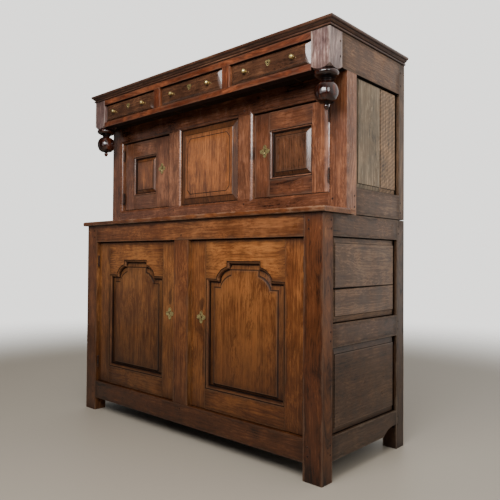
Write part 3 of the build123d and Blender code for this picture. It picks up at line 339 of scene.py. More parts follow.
def grain_of(mesh, name, run, tone):
    """Writes where each board's grain runs, how far its edges are, and its own tone."""
    vectors = mesh.loops.layers.float_vector
    grain, place, reach = (vectors.new(key) for key in ("grain", "place", "reach"))
    tint = mesh.loops.layers.float_color.new("tone")
    runs = mesh.faces.layers.int.get("run")
    for number, board in enumerate(loose_boards(mesh)):
        draw = random.Random(f"{name} {number}")
        points, low, high = reach_of(board)
        size, centre = high - low, (high + low) / 2
        shift = Vector([draw.uniform(2, 40) for _ in range(3)])
        light, red, hatch, worn = tone(centre / MM) if callable(tone) else tone
        light += draw.uniform(-0.05, 0.05)
        red += draw.uniform(-0.15, 0.15)
        lofted = bool(runs and any(face[runs] for face in board))
        longest = run if run is not None else max(range(3), key=lambda axis: size[axis])
        for face in board:
            along = face[runs] - 1 if lofted and face[runs] else longest
            across, through = sorted((a for a in range(3) if a != along), key=lambda a: -size[a])
            if face is board[0]:
                ends = [
                    p[along] for p in points if min(p[across] - low[across], high[across] - p[across]) < MM
                ]
                first, last = min(ends), max(ends)
            home = Vector(((first + last) / 2, centre[across], centre[through]))
            far = Vector((last - first, size[across], size[through])) / 2
            for loop in face.loops:
                spot = Vector([loop.vert.co[axis] for axis in (along, across, through)])
                loop[grain] = spot + shift
                loop[place] = Vector() if lofted else spot - home
                loop[reach] = Vector((1, 1, 1)) if lofted else far
                loop[tint] = (light, red, hatch, worn)


# Faces that turn by less than facet_turn are shaded as one. A strip narrower than facet_width,
# as along an eased arris, may turn by up to rounded_turn.
facet_width, facet_turn, rounded_turn = 6 * MM, 12, 50


def finished(mesh, name, body, material, nodes=(), run=None, tone=(0.0, 0.0, 0.0, 0.3)):
    """Makes a mesh one of the cupboard's pieces. Tone is light, red, hatching and wear."""
    grain_of(mesh, name, run, tone)
    for face in mesh.faces:
        face.smooth = True
    for edge in mesh.edges:
        if edge.is_manifold:
            turn = math.degrees(edge.calc_face_angle())
            narrow = min(face.calc_area() for face in edge.link_faces) < edge.calc_length() * facet_width
            edge.smooth = turn < (rounded_turn if narrow else facet_turn)
    data = bpy.data.meshes.new(name)
    mesh.to_mesh(data)
    mesh.free()
    data.materials.append(material)
    piece = bpy.data.objects.new(name, data)
    bpy.context.scene.collection.objects.link(piece)
    piece.modifiers.new("even_light", "WEIGHTED_NORMAL").keep_sharp = True
    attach(piece, body)
    if nodes:
        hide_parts(*nodes)


def dressed(node, material, body="case", ease=1.2, tone=(0.0, 0.0, 0.0, 0.3)):
    """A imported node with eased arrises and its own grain."""
    finished(planed(copied(node), ease), f"{node}_oak", body, material, [node], tone=tone)


frame_oak = oak(
    "frame_oak_waxed", (34, 18, 11), (88, 53, 31), (136, 92, 58), 0.34, 0.35,
    streaks=0.7, clouds=0.6, rings=0.08, wear=0.5, grime=0.9, shade=0.7, dry=1.0,
)
sill_top, head_foot, leg_inside = 160, 800, 660


def lower_frame_tone(centre):
    """The right leg is deep red, and the sill is darker than the head rail."""
    if centre.z < sill_top:
        return (-0.06, -0.1, 0.0, 0.2)
    if centre.x > leg_inside:
        return (-0.16, 0.4, 0.0, 0.5)
    return (0.1 if centre.z > head_foot else 0.04, 0.1, 0.0, 0.5)


dressed("lower_front_legs", frame_oak, ease=2.4, tone=lower_frame_tone)
dressed("lower_front_rails", frame_oak, ease=1.4, tone=lower_frame_tone)
dressed("lower_muntin", frame_oak, ease=1.4, tone=(0.17, 0.2, 0.0, 0.4))

# ---------------------------------------------------------------- the sides
# Back legs and rails of paler, drier oak, greyed by dust, round loose boards that have shrunk
# in their grooves. A gap shows behind them, darkened with dirt and painted shade, their edges are
# bevelled, and the joint of the two boards in the upper bay of the lower stage has opened towards
# the front.
side_oak = oak(
    "side_oak_dry", (32, 22, 15), (80, 59, 42), (126, 101, 77), 0.42, 0.25,
    streaks=0.7, clouds=0.7, rings=0.08, wear=0.6, grime=0.9, shade=0.75,
)
dressed("lower_side_rails", side_oak, ease=1.6, tone=(-0.05, 0.0, 0.0, 0.5))
dressed("lower_back_legs", side_oak, ease=2.2, tone=(-0.1, -0.1, 0.0, 0.6))
stage_foot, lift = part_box("upper_side_rails")[0].z, 3 * MM


def lifted(node):
    """A copy of a node of the upper stage, its foot raised for a dark joint below it."""
    mesh = copied(node)
    for vert in mesh.verts:
        if vert.co.z < stage_foot + 0.1 * MM:
            vert.co.z += lift
    return mesh


finished(
    planed(lifted("upper_side_rails"), 1.6), "upper_side_rails_oak", "case", side_oak,
    ["upper_side_rails"], tone=(-0.02, 0.0, 0.0, 0.5),
)


def layer(layers, name):
    """A layer of a mesh, made where it isn't there yet."""
    return layers.get(name) or layers.new(name)


def shaped(mesh, rings, draw, runs, joined=False):
    """Skins a row of outlines. Each ring is its points, its depth, its dirt and painted shade, and
    its rubbing. The dirt and shade is one value or one for each point. Runs gives the axis that
    the grain follows."""
    dirt_and_shade_marks, rub = (layer(mesh.verts.layers.float, name) for name in ("dirt_and_shade_marks", "rub"))
    run = layer(mesh.faces.layers.int, "run")
    rows = []
    for points, depth, dirt_and_shade, rubbing in rings:
        row = [mesh.verts.new(draw(a, b, depth)) for a, b in points]
        for n, vert in enumerate(row):
            vert[dirt_and_shade_marks] = dirt_and_shade[n] if isinstance(dirt_and_shade, tuple) else dirt_and_shade
            vert[rub] = rubbing
        rows.append(row)
    made = []
    pairs = list(zip(rows, rows[1:])) + ([(rows[-1], rows[0])] if joined else [])
    for one, two in pairs:
        for n in range(len(one)):
            m = (n + 1) % len(one)
            face = mesh.faces.new((one[n], one[m], two[m], two[n]))
            face[run] = runs(n) + 1
            made.append(face)
    if not joined:
        for row in (rows[0], rows[-1]):
            face = mesh.faces.new(row)
            face[run] = runs(1) + 1
            made.append(face)
    bmesh.ops.recalc_face_normals(mesh, faces=made)


def side_board(mesh, side, y, foot, head, rim, bevel, lap, run):
    """A side's loose board. Foot and head are its heights in front and behind. Rim, bevel and
    lap are what its front, back, foot and head edges lose to the gap, the slope and the lip."""
    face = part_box("lower_side_rails")[1].x / MM

    def outline(loss):
        front, back, low, high = loss
        return [
            (y[0] + front, foot[0] + low), (y[1] - back, foot[1] + low),
            (y[1] - back, head[1] - high), (y[0] + front, head[0] - high),
        ]

    # the tongue, the gap behind it and the foot of the bevel: dirt and painted shade
    rings = [(outline(lap), 20.0, 0.25, 0.0), (outline(lap), 18.6, 1.0, 0.0)]
    for share, depth, dirt_and_shade, rubbing in (
        (0.0, 18.6, 1.0, 0.0), (0.02, 12.6, 1.0, 0.0), (0.12, 12.0, 0.2, 0.0), (0.86, 10.2, 0.12, 0.0),
        (0.93, 9.8, 0.95, 0.0), (0.98, 7.3, 0.3, 0.1), (1.04, 7.0, 0.0, 0.15), (1.15, 7.0, 0.0, 0.0),
    ):
        loss = [start + (end - start) * share for start, end in zip(rim, bevel)]
        rings.append((outline(loss), depth, dirt_and_shade, rubbing))
    shaped(mesh, rings, lambda a, b, depth: Vector((side * (face - depth), a, b)) * MM, lambda n: run)


tongue = 7.5
lower_opening, upper_opening, stage_opening = (154, 454), (535, 837), (1017, 1429)
lower_bay, upper_bay, stage_bay = (
    (foot - tongue, head + tongue) for foot, head in (lower_opening, upper_opening, stage_opening)
)
bay_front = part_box("lower_front_legs")[1].y / MM - tongue
bay_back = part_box("lower_back_legs")[0].y / MM + tongue
joint_front, joint_back, joint_open, joint_shut = 655.0, 658.0, 5.0, 0.4
under_joint = (joint_front - joint_open / 2, joint_back - joint_shut / 2)
over_joint = (joint_front + joint_open / 2, joint_back + joint_shut / 2)
mesh = bmesh.new()
for side in (-1, 1):
    for foot, head, rim, bevel, lap in (
        ((lower_bay[0],) * 2, (lower_bay[1],) * 2, (27, 22, 10, 10), (32, 27, 31, 34), (0, 0, 0, 0)),
        ((upper_bay[0],) * 2, under_joint, (27, 22, 10, 0.2), (32, 27, 33, 1.6), (0, 0, 0, -0.3)),
        (over_joint, (upper_bay[1],) * 2, (27, 22, 0.2, 10), (32, 27, 1.6, 32), (0, 0, -4.4, 0)),
    ):
        side_board(mesh, side, (bay_front, bay_back), foot, head, rim, bevel, lap, 1)
finished(
    mesh, "lower_side_panels_oak", "case", side_oak, ["lower_side_panels"], run=1,
    tone=lambda centre: (-0.03 if centre.z < lower_bay[1] else 0.1, -0.1, 0.0, 0.0),
)

boards_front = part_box("upper_front_stiles")[1].y / MM - tongue
boards_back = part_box("upper_back_stiles")[0].y / MM + tongue
boards_joint, half_gap = 112.5, 1.4
mesh = bmesh.new()
for side in (-1, 1):
    for y, rim, bevel, lap in (
        ((boards_front, boards_joint - half_gap), (26, 0.5, 10, 12), (31, 3.0, 28, 17), (0, -1.3, 0, 0)),
        ((boards_joint + half_gap, boards_back), (0.5, 26, 10, 12), (3.0, 31, 28, 17), (-1.3, 0, 0, 0)),
    ):
        side_board(mesh, side, y, (stage_bay[0],) * 2, (stage_bay[1],) * 2, rim, bevel, lap, 2)
grey_oak = oak(
    "side_boards_oak_grey", (52, 42, 30), (108, 89, 66), (156, 134, 106), 0.45, 0.2,
    streaks=1.3, clouds=0.7, rings=0.1, wear=0.4, grime=0.9, shade=0.0,
)
finished(
    mesh, "upper_side_panels_oak", "case", grey_oak, ["upper_side_panels"], run=2,
    tone=lambda centre: (0.04, -0.5, 0.0, 0.0) if centre.y < boards_joint else (-0.04, 0.4, 0.28, 0.0),
)

# ---------------------------------------------------------------- the upper frame
# Stiles, rails and muntins of the set-back stage. A scratch stock has run a quarter round
# along the edges of its three openings, with a small step beside the face.
stage_oak = oak(
    "stage_oak_waxed", (34, 19, 13), (88, 57, 41), (142, 100, 74), 0.25, 0.7,
    scars=(((280.0, -134.0, 1188.0), (26.0, 30.0, 34.0), 0.75),),
    streaks=0.7, clouds=0.7, rings=0.08, wear=0.6, grime=0.8, shade=0.2, dry=0.6,
)


def box_of(node):
    """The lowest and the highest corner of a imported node, in millimetres."""
    return [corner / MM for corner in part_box(node)]


def on_front(y):
    """Drawing on a plane that faces the front: right, up, and depth behind it."""
    return lambda a, b, depth: Vector((a, y + depth, b)) * MM


def oblong(a, b, inset, cant=0.3):
    """A rectangle, drawn in from its spans, with canted corners."""
    (a0, a1), (b0, b1) = (a[0] + inset, a[1] - inset), (b[0] + inset, b[1] - inset)
    return [
        (a0 + cant, b0), (a1 - cant, b0), (a1, b0 + cant), (a1, b1 - cant),
        (a1 - cant, b1), (a0 + cant, b1), (a0, b1 - cant), (a0, b0 + cant),
    ]


def cut_by(mesh, cutter):
    """Takes the wood away that a cutter passes through."""
    pair = []
    for part in (mesh, cutter):
        data = bpy.data.meshes.new("shaping")
        part.to_mesh(data)
        pair.append(bpy.data.objects.new("shaping", data))
        bpy.context.scene.collection.objects.link(pair[-1])
    wood, plane = pair
    shave = wood.modifiers.new("shave", "BOOLEAN")
    shave.operation, shave.solver, shave.object = "DIFFERENCE", "EXACT", plane
    shaved = bpy.data.meshes.new_from_object(wood.evaluated_get(bpy.context.evaluated_depsgraph_get()))
    mesh.clear()
    mesh.from_mesh(shaved)
    for done in pair:
        bpy.data.objects.remove(done)
    return mesh


stage_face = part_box("upper_front_rails")[0].y / MM
door_gap, panel_hold = 2.0, 8.0
quarter = [
    (0.0, 12.0), (-0.3, 10.0), (-0.9, 8.2), (-1.9, 6.7), (-3.3, 5.4), (-5.2, 4.2), (-7.4, 3.2), (-9.2, 2.6),
    (-10.6, 2.3), (-11.0, 2.1), (-11.0, -2.0), (2.0, -2.0), (2.0, 12.0),
]
openings = {}
cutter = bmesh.new()
for node, grown in (
    ("upper_left_door_frame", door_gap), ("centre_panel", -panel_hold), ("upper_right_door_frame", door_gap),
):
    low, high = box_of(node)
    openings[node] = ((low.x - grown, high.x + grown), (low.z - grown, high.z + grown))
    shaped(
        cutter, [(oblong(*openings[node], inset), depth, 0.0, 0.0) for inset, depth in quarter],
        on_front(stage_face), lambda n: 0, joined=True,
    )
stage_head, stage_sill, stile_inside = 1340, 1100, 600


def stage_tone(centre):
    """The top rail is darker, for soot and painted shade under the frieze; the muntins are the palest."""
    if centre.z > stage_head:
        return (-0.1, 0.3, 0.0, 0.1)
    if abs(centre.x) > stile_inside:
        return (0.06, 0.3, 0.0, 0.4)
    return (0.1, 0.3, 0.0, 0.3) if centre.z > stage_sill else (0.0, 0.4, 0.0, 0.3)


for node, ease in (("upper_front_stiles", 1.8), ("upper_front_rails", 1.4), ("upper_muntins", 1.4)):
    mesh = cut_by(planed(copied(node), ease), cutter)
    finished(mesh, f"{node}_oak", "case", stage_oak, [node], tone=stage_tone)
finished(
    planed(lifted("upper_back_stiles"), 1.8), "upper_back_stiles_oak", "case", side_oak,
    ["upper_back_stiles"], tone=(0.02, 0.0, 0.0, 0.5),
)

# ---------------------------------------------------------------- doors and the fixed panel
# Each door is a pegged frame with an ovolo stuck round its opening and a fielded panel loose
# in a groove behind it. The two large doors have a crowned head. The middle panel of the upper
# stage is fixed in the frame and has a string line, cut in with canted corners.
arch_side_step, arch_rise_step, crown_rise = 8.0, 42.0, 22.0
arch_run, arch_bulge = 57.0, 8.0


def curve(start, end, bulge, count=9):
    """Points along an arc that stands off its chord by bulge."""
    chord = math.dist(start, end)
    radius = ((chord / 2) ** 2 + bulge**2) / (2 * bulge)
    across = ((end[0] - start[0]) / chord, (end[1] - start[1]) / chord)
    out = (across[1], -across[0])
    half_angle = math.asin(chord / 2 / radius)
    middle = ((start[0] + end[0]) / 2, (start[1] + end[1]) / 2)
    centre = [middle[i] + out[i] * (bulge - radius) for i in (0, 1)]
    points = []
    for n in range(count):
        angle = half_angle * (2 * n / (count - 1) - 1)
        points.append(tuple(
            centre[i] + radius * (out[i] * math.cos(angle) + across[i] * math.sin(angle)) for i in (0, 1)
        ))
    return points


def crowned(middle, side, foot, head, step, crown, crest, spring, top, bulge):
    """A crowned outline, both halves alike."""
    right = [(side, head), (step, head)] + curve((step, spring), (crown, top), bulge) + [(crown, crest)]
    left = [(-a, b) for a, b in reversed(right)]
    return [(middle + a, b) for a, b in [(-side, foot), (side, foot)] + right + left]


def crowned_inset(panel_x, foot, crest, crown, inset):
    """The crowned outline of an opening, with all its edges moved in by inset."""
    middle, side = sum(panel_x) / 2, (panel_x[1] - panel_x[0]) / 2
    top = crest - crown_rise
    spring = top - arch_rise_step
    head = spring - arch_side_step
    first, last = (crown + arch_run, spring), (crown, top)
    chord = math.dist(first, last)
    radius = ((chord / 2) ** 2 + arch_bulge**2) / (2 * arch_bulge)
    out = (arch_rise_step / chord, arch_run / chord)
    centre = [(first[i] + last[i]) / 2 + out[i] * (arch_bulge - radius) for i in (0, 1)]
    near = radius - inset
    ends = []
    for a in (first[0] - inset, last[0] - inset):
        ends.append((a, centre[1] + math.sqrt(near**2 - (a - centre[0]) ** 2)))
    half_chord = math.dist(*ends) / 2
    bulge = near - math.sqrt(near**2 - half_chord**2)
    return crowned(
        middle, side - inset, foot + inset, head - inset, ends[0][0], ends[1][0], crest - inset,
        ends[0][1], ends[1][1], bulge,
    )


def crowned_field(panel_x, foot, crest, crown, margins, narrower, inset):
    """The crowned outline of a raised field: its crown is drawn in less than its sides."""
    side_margin, foot_margin, head_margin = (margin + inset for margin in margins)
    middle, side = sum(panel_x) / 2, (panel_x[1] - panel_x[0]) / 2
    inner = crown - narrower - inset
    top = crest - head_margin - crown_rise
    spring = top - arch_rise_step
    return crowned(
        middle, side - side_margin, foot + foot_margin, spring - arch_side_step, inner + arch_run, inner,
        crest - head_margin, spring, top, arch_bulge,
    )


crowned_margins, crown_narrower, square_margin = (43.0, 28.0, 38.0), 20.0, 30.0


def outlines(panel_x, panel_z, crown=None):
    """How an opening and its panel's field are drawn in by an inset. Crown is half its width."""
    if crown is None:
        return (
            lambda inset: oblong(panel_x, panel_z, inset),
            lambda inset: oblong(panel_x, panel_z, square_margin + inset),
        )
    return (
        lambda inset: crowned_inset(panel_x, *panel_z, crown, inset),
        lambda inset: crowned_field(panel_x, *panel_z, crown, crowned_margins, crown_narrower, inset),
    )


def ovolo(width, deep, floor, dirt_and_shade):
    """A quirk and a quarter round: (inset, depth, dirt and painted shade, rubbing) from the face to
    the panel.
    """
    # the quirk and the foot of the round: dirt and painted shade
    section = [(-1.5, 0.1, 0.0, 0.0), (0.0, 0.15, 0.8, 0.0), (0.6, 2.4, 1.0, 0.0), (2.4, 2.6, 1.0, 0.0)]
    for n in range(8):
        turn = math.radians(90 * n / 7)
        section.append((
            2.6 + (width - 4.2) * math.sin(turn), 1.0 + (deep - 1.0) * (1 - math.cos(turn)),
            dirt_and_shade if 0 < n < 6 else 0.8, 0.15 if n in (1, 2) else 0.0,
        ))
    section += [(width - 0.2, deep + 0.2, 0.7, 0.0), (width, deep + 0.6, 1.0, 0.0)]
    return section + [(width, floor, 1.0, 0.0), (-1.5, floor, 1.0, 0.0)]


def fielded_panel(outline, field, draw, edge, groove, bevel_dirt_and_shade, depths, border=None):
    """A panel: its back, its tongue, the bevel that climbs, the step round the field, the field."""
    back_depth, foot_depth, field_depth, step = depths
    # the tongue, the foot of the bevel, the step round the field and the string line: dirt and painted shade
    rings = [
        (outline(-tongue), back_depth, 0.6, 0.0),
        (outline(-tongue), foot_depth, 0.6, 0.0),
        (outline(edge), foot_depth, 1.0, 0.0),
        (outline(edge + 2.0), foot_depth - 0.4, 1.0, 0.0),
        (outline(edge + 4.5), foot_depth - 1.2, bevel_dirt_and_shade, 0.0),
        (field(-groove - 2.0), field_depth + step + 0.6, bevel_dirt_and_shade, 0.0),
        (field(-groove), field_depth + step, 1.0, 0.0),
        (field(-0.6), field_depth + 0.5, 0.6, 0.0),
        (field(0.6), field_depth, 0.3, 0.2),
        (field(3.0), field_depth, 0.32, 0.0),
        (field(12.0), field_depth, 0.14, 0.0),
    ]
    if border:
        line = ((-2.2, 0.0, 0.12), (-1.1, 0.8, 0.95), (1.1, 0.8, 0.95), (2.2, 0.0, 0.1), (24.0, 0.0, 0.0))
        rings += [(border(inset), field_depth + sunk, dirt_and_shade, 0.0) for inset, sunk, dirt_and_shade in line]
    else:
        rings.append((field(30.0), field_depth, 0.0, 0.0))
    mesh = bmesh.new()
    shaped(mesh, rings, draw, lambda n: 2)
    return mesh


edge_loss, head_loss = 1.0, 2.6


def hung(door, low, high):
    """The frame of a door, planed to hang free in its opening."""
    mesh = copied(f"{door}_frame")
    for vert in mesh.verts:
        for axis, loss in ((0, edge_loss), (2, head_loss)):
            for end, inward in ((low[axis], edge_loss), (high[axis], -loss)):
                if abs(vert.co[axis] - end * MM) < 0.05 * MM:
                    vert.co[axis] += inward * MM
    return planed(mesh, 1.0)


worn_edge = [
    (-27.0, 0.0), (-21.0, 0.25), (-15.0, 0.9), (-10.0, 1.8), (-6.5, 2.6), (-4.4, 3.3), (-3.0, 4.1),
    (-1.9, 5.1), (-1.2, 6.2),
]


def worn_by_hinges(mesh, low, high):
    """Rounds the hinge edge of a small door, which is the one away from the middle."""
    side = math.copysign(1, low.x)
    edge = max(abs(low.x), abs(high.x))
    rounding = [(edge + a, low.y + b) for a, b in worn_edge]
    rounding += [(edge + 2, rounding[-1][1]), (edge + 2, low.y - 2), (rounding[0][0], low.y - 2)]
    cutter = bmesh.new()
    shaped(
        cutter, [(rounding, height, 0.0, 0.0) for height in (low.z - 2, high.z + 2)],
        lambda a, b, h: Vector((side * a, b, h)) * MM, lambda n: 2,
    )
    cut_by(mesh, cutter)


lower_door_oak = oak(
    "lower_door_oak_waxed", (34, 18, 10), (98, 60, 33), (152, 104, 60), 0.38, 0.3,
    scars=(
        ((-88.0, -262.0, 588.0), (14.0, 60.0, 34.0), 0.55),
        ((113.0, -262.0, 572.0), (19.0, 60.0, 26.0), 0.6),
        ((113.0, -262.0, 462.0), (26.0, 60.0, 20.0), 0.35),
        ((150.0, -262.0, 760.0), (40.0, 60.0, 18.0), 0.25),
    ),
    streaks=0.75, clouds=0.6, rings=0.1, wear=0.4, grime=0.9, shade=0.9,
)
upper_door_oak = oak(
    "upper_door_oak_waxed", (36, 21, 14), (90, 59, 43), (144, 102, 76), 0.25, 0.7,
    streaks=0.7, clouds=0.7, rings=0.08, wear=0.6, grime=0.8, shade=0.2,
)
lower_panel_oak = oak(
    "lower_panel_oak_waxed", (34, 18, 10), (96, 59, 33), (148, 102, 60), 0.36, 0.3,
    streaks=0.75, clouds=0.6, rings=0.1, wear=0.3, grime=0.6, shade=1.1,
)
upper_panel_oak = oak(
    "upper_panel_oak_waxed", (34, 20, 13), (92, 58, 39), (152, 101, 62), 0.2, 0.9,
    streaks=0.6, clouds=0.6, rings=0.08, wear=0.3, grime=0.6, shade=0.1,
)

# The two makes of door. Stiles are the stretches of the moulding that run up, and ovolo is its
# width, its depth and its dirt and painted shade. Depths are the panel's back, the foot of its
# bevel, its field and the step round the field.
crowned_door = {
    "crown": 89.0, "stiles": (1, 25), "ovolo": (13.0, 10.5, 0.5), "groove": 5.0, "bevel_dirt_and_shade": 0.4,
    "depths": (18.0, 15.4, 7.4, 3.6), "frame_oak": lower_door_oak, "panel_oak": lower_panel_oak,
}
square_door = {
    "crown": None, "stiles": (2, 6), "ovolo": (10.5, 9.0, 0.1), "groove": 2.6, "bevel_dirt_and_shade": 0.3,
    "depths": (18.0, 13.2, 3.6, 1.2), "frame_oak": upper_door_oak, "panel_oak": upper_panel_oak,
}
# Each door's make, how light its top rail, bottom rail and stiles are, how red they are, and how
# light and how red its panel is.
doors = {
    "lower_left_door": (crowned_door, 0.16, 0.14, 0.17, 0.1, (0.2, 0.0)),
    "lower_right_door": (crowned_door, 0.22, 0.18, 0.1, 0.4, (0.28, 0.3)),
    "upper_left_door": (square_door, 0.08, 0.02, 0.06, 0.1, (0.1, 0.1)),
    "upper_right_door": (square_door, 0.1, -0.12, 0.06, 0.4, (-0.1, -0.8)),
}
stile_reach = 60


def door_tone(middle, top, bottom, stiles, red):
    """The rails of a door differ in colour from its stiles, whose centres are at its middle."""
    def tone(centre):
        light = stiles
        if abs(centre.z - middle) > stile_reach:
            light = top if centre.z > middle else bottom
        return (light, red, 0.0, 0.35)
    return tone


for door, (make, top, bottom, stiles, red, panel_tone) in doors.items():
    low, high = box_of(f"{door}_panel")
    panel_x, panel_z = (low.x + panel_hold, high.x - panel_hold), (low.z + panel_hold, high.z - panel_hold)
    outline, field = outlines(panel_x, panel_z, make["crown"])
    low, high = box_of(f"{door}_frame")
    mesh = hung(door, low, high)
    if make is square_door:
        worn_by_hinges(mesh, low, high)
    width, deep, dirt_and_shade = make["ovolo"]
    section = ovolo(width, deep, make["depths"][1] - 0.5, dirt_and_shade)
    shaped(
        mesh, [(outline(inset), *rest) for inset, *rest in section], on_front(low.y),
        lambda n: 2 if n in make["stiles"] else 0, joined=True,
    )
    finished(
        mesh, f"{door}_frame_oak", door, make["frame_oak"], [f"{door}_frame"],
        tone=door_tone((low.z + high.z) / 2, top, bottom, stiles, red),
    )
    panel = fielded_panel(
        outline, field, on_front(low.y), width, make["groove"], make["bevel_dirt_and_shade"], make["depths"]
    )
    finished(
        panel, f"{door}_panel_oak", door, make["panel_oak"], [f"{door}_panel"],
        run=2, tone=(*panel_tone, 0.0, 0.0),
    )

string_inset, string_cant = 47, 20
opening = openings["centre_panel"]
panel = fielded_panel(
    *outlines(*opening), on_front(stage_face), 0.3, 2.6, 0.65, (20.0, 14.4, 6.6, 1.6),
    lambda inset: oblong(*opening, string_inset + inset, string_cant - 0.4 * inset),
)
finished(
    panel, "centre_panel_oak", "case", upper_panel_oak, ["centre_panel"],
    run=2, tone=(0.16, 0.4, 0.0, 0.0),
)

# ---------------------------------------------------------------- ironwork and brass of the doors
# Wrought hinges and lock cases of blackened iron, and cast brass keyhole plates, thin and
# worn, that a pin holds in each lobe.


def metal(name, per_metre, rough, clean, tarnished, spread, polish, shine, relief):
    """A metal with patches of tarnish, which are duller and a little raised."""
    material, tree, shader = new_finish(name)
    case = put(tree, "ShaderNodeTexCoord").outputs["Object"]
    patches = lumps(tree, case, (per_metre, per_metre, per_metre), 3.0, rough)
    colour = laid_over(tree, fade(tree, patches, *spread), stain(*clean), stain(*tarnished))
    bump = put(tree, "ShaderNodeBump", {"Height": patches, "Distance": relief * MM})
    tree.links.new(colour, shader.inputs["Base Color"])
    tree.links.new(fade(tree, patches, *polish), shader.inputs["Roughness"])
    tree.links.new(bump.outputs[0], shader.inputs["Normal"])
    shader.inputs["Metallic"].default_value = shine
    return material


iron = metal(
    "blackened_iron", 260.0, 0.5, clean=(38, 35, 34), tarnished=(84, 56, 42), spread=(0.42, 0.62),
    polish=(0.3, 0.7, 0.42, 0.75), shine=0.7, relief=0.3,
)
brass = metal(
    "old_brass", 120.0, 0.6, clean=(222, 200, 136), tarnished=(100, 80, 50), spread=(0.46, 0.66),
    polish=(0.35, 0.7, 0.17, 0.5), shine=0.9, relief=0.15,
)
metal_ease, metal_shortest = 0.35, 1.5


def metalwork(node, body, material):
    """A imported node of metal, its edges just broken."""
    mesh = planed(copied(node), metal_ease, metal_shortest)
    finished(mesh, f"{node}_metal", body, material, [node])


for door in doors:
    metalwork(f"{door}_ironwork", door, iron)
    metalwork(f"{door}_escutcheon", door, brass)
metalwork("hinge_frame_leaves", "case", iron)

# ---------------------------------------------------------------- the frieze
# The overhanging drawer case: two corner posts with a turned shoulder, rails and muntins
# round the drawers, and a wide rail down each side. The posts are rubbed pale and glossy.
frieze_oak = oak(
    "frieze_oak_waxed", (34, 17, 11), (84, 46, 30), (134, 84, 58), 0.24, 0.7,
    streaks=0.9, clouds=0.9, rings=0.15, wear=0.3, grime=0.9, shade=0.0, dry=1.0,
)
post_oak = oak(
    "post_oak_rubbed", (48, 32, 28), (106, 84, 78), (176, 152, 142), 0.16, 1.0,
    streaks=0.8, clouds=0.9, rings=0.15, wear=0.8, grime=0.8, shade=0.0,
)
dressed("frieze_posts", post_oak, ease=3.0, tone=(0.05, 0.0, 0.0, 0.9))
dressed("frieze_frame", frieze_oak, ease=1.2, tone=(0.02, 0.2, 0.0, 0.7))
dressed("frieze_side_rails", side_oak, ease=1.4, tone=(0.06, 0.5, 0.0, 0.4))

# ---------------------------------------------------------------- pendants
# Turned drops of near-black oak under the posts, each in one piece with the dowel that holds
# it: a disc, a beaded neck, a ball with a line scribed round it, and a button.
turned_oak = oak(
    "turned_oak_black", (10, 5, 4), (32, 15, 10), (84, 44, 30), 0.1, 1.0,
    streaks=0.7, clouds=0.8, rings=0.15, wear=0.3, grime=0.5, shade=0.0,
)
turned_oak.node_tree.nodes["Principled BSDF"].inputs["Coat Roughness"].default_value = 0.05


def turned(mesh, profile, draw, sides=48):
    """Turns a profile of (radius, height, dirt and painted shade) on a lathe; its ends close on the axis."""
    dirt_and_shade_marks, run = layer(mesh.verts.layers.float, "dirt_and_shade_marks"), layer(mesh.faces.layers.int, "run")
    rows, made = [], []
    for radius, height, dirt_and_shade in profile:
        angles = [math.tau * n / sides for n in range(sides)] if radius else [0.0]
        row = [mesh.verts.new(draw(radius * math.cos(a), radius * math.sin(a), height)) for a in angles]
        for vert in row:
            vert[dirt_and_shade_marks] = dirt_and_shade
        rows.append(row)
    for one, two in zip(rows, rows[1:]):
        for n in range(sides):
            m = (n + 1) % sides
            corners = [one[n % len(one)], one[m % len(one)], two[m % len(two)], two[n % len(two)]]
            face = mesh.faces.new(list(dict.fromkeys(corners)))
            face[run] = 3
            made.append(face)
    bmesh.ops.recalc_face_normals(mesh, faces=made)


ball_neck, ball_swell, ball_middle, ball_half = 14, 29, 1341, 37
line_middle, line_half, line_depth = 1322, 2.2, 1.1
ball = []
for degrees in range(12, 172, 8):
    turn = math.radians(degrees)
    height = ball_middle + ball_half * math.cos(turn)
    sunk = line_depth if abs(height - line_middle) < line_half else 0
    ball.append((ball_neck + ball_swell * math.sin(turn) ** 0.85 - sunk, height, 0.0))
drop = [
    (0, 1455, 0), (12, 1455, 0), (12, 1416, 0.5), (39, 1416, 0.5), (43, 1413.5, 0), (44.8, 1409, 0),
    (44.6, 1404.5, 0), (42, 1399.5, 0), (38, 1396.5, 0), (35, 1395.5, 0.9), (34, 1394, 0.2),
    (28, 1392.2, 0), (22, 1391, 0.6), (18, 1390.2, 0.9), (17.5, 1389, 0), (20, 1387.8, 0),
    (20.5, 1386.2, 0), (19, 1384.8, 0), (16, 1384, 0.9), (15.5, 1382.5, 0), (17.5, 1381, 0),
    (18.2, 1379.8, 0.3), (17.2, 1378.8, 0.9),
] + ball + [
    (15, 1304.6, 0.8), (12, 1303.6, 0), (11, 1302.4, 0), (6.5, 1301.6, 0.9), (6.2, 1300, 0.9),
    (8.6, 1298, 0), (10, 1293.5, 0), (9.2, 1289, 0), (6.2, 1284, 0), (4.4, 1281.2, 0), (0, 1280, 0),
]
post_low, post_high = box_of("frieze_posts")
half_post = 40
mesh = bmesh.new()
for side in (-1, 1):
    x, y = side * (post_high.x - half_post), (post_low.y + post_high.y) / 2
    turned(mesh, drop, lambda a, b, h: Vector((x + a, y + b, h)) * MM)
finished(mesh, "pendants_oak", "case", turned_oak, ["pendants"], run=2)

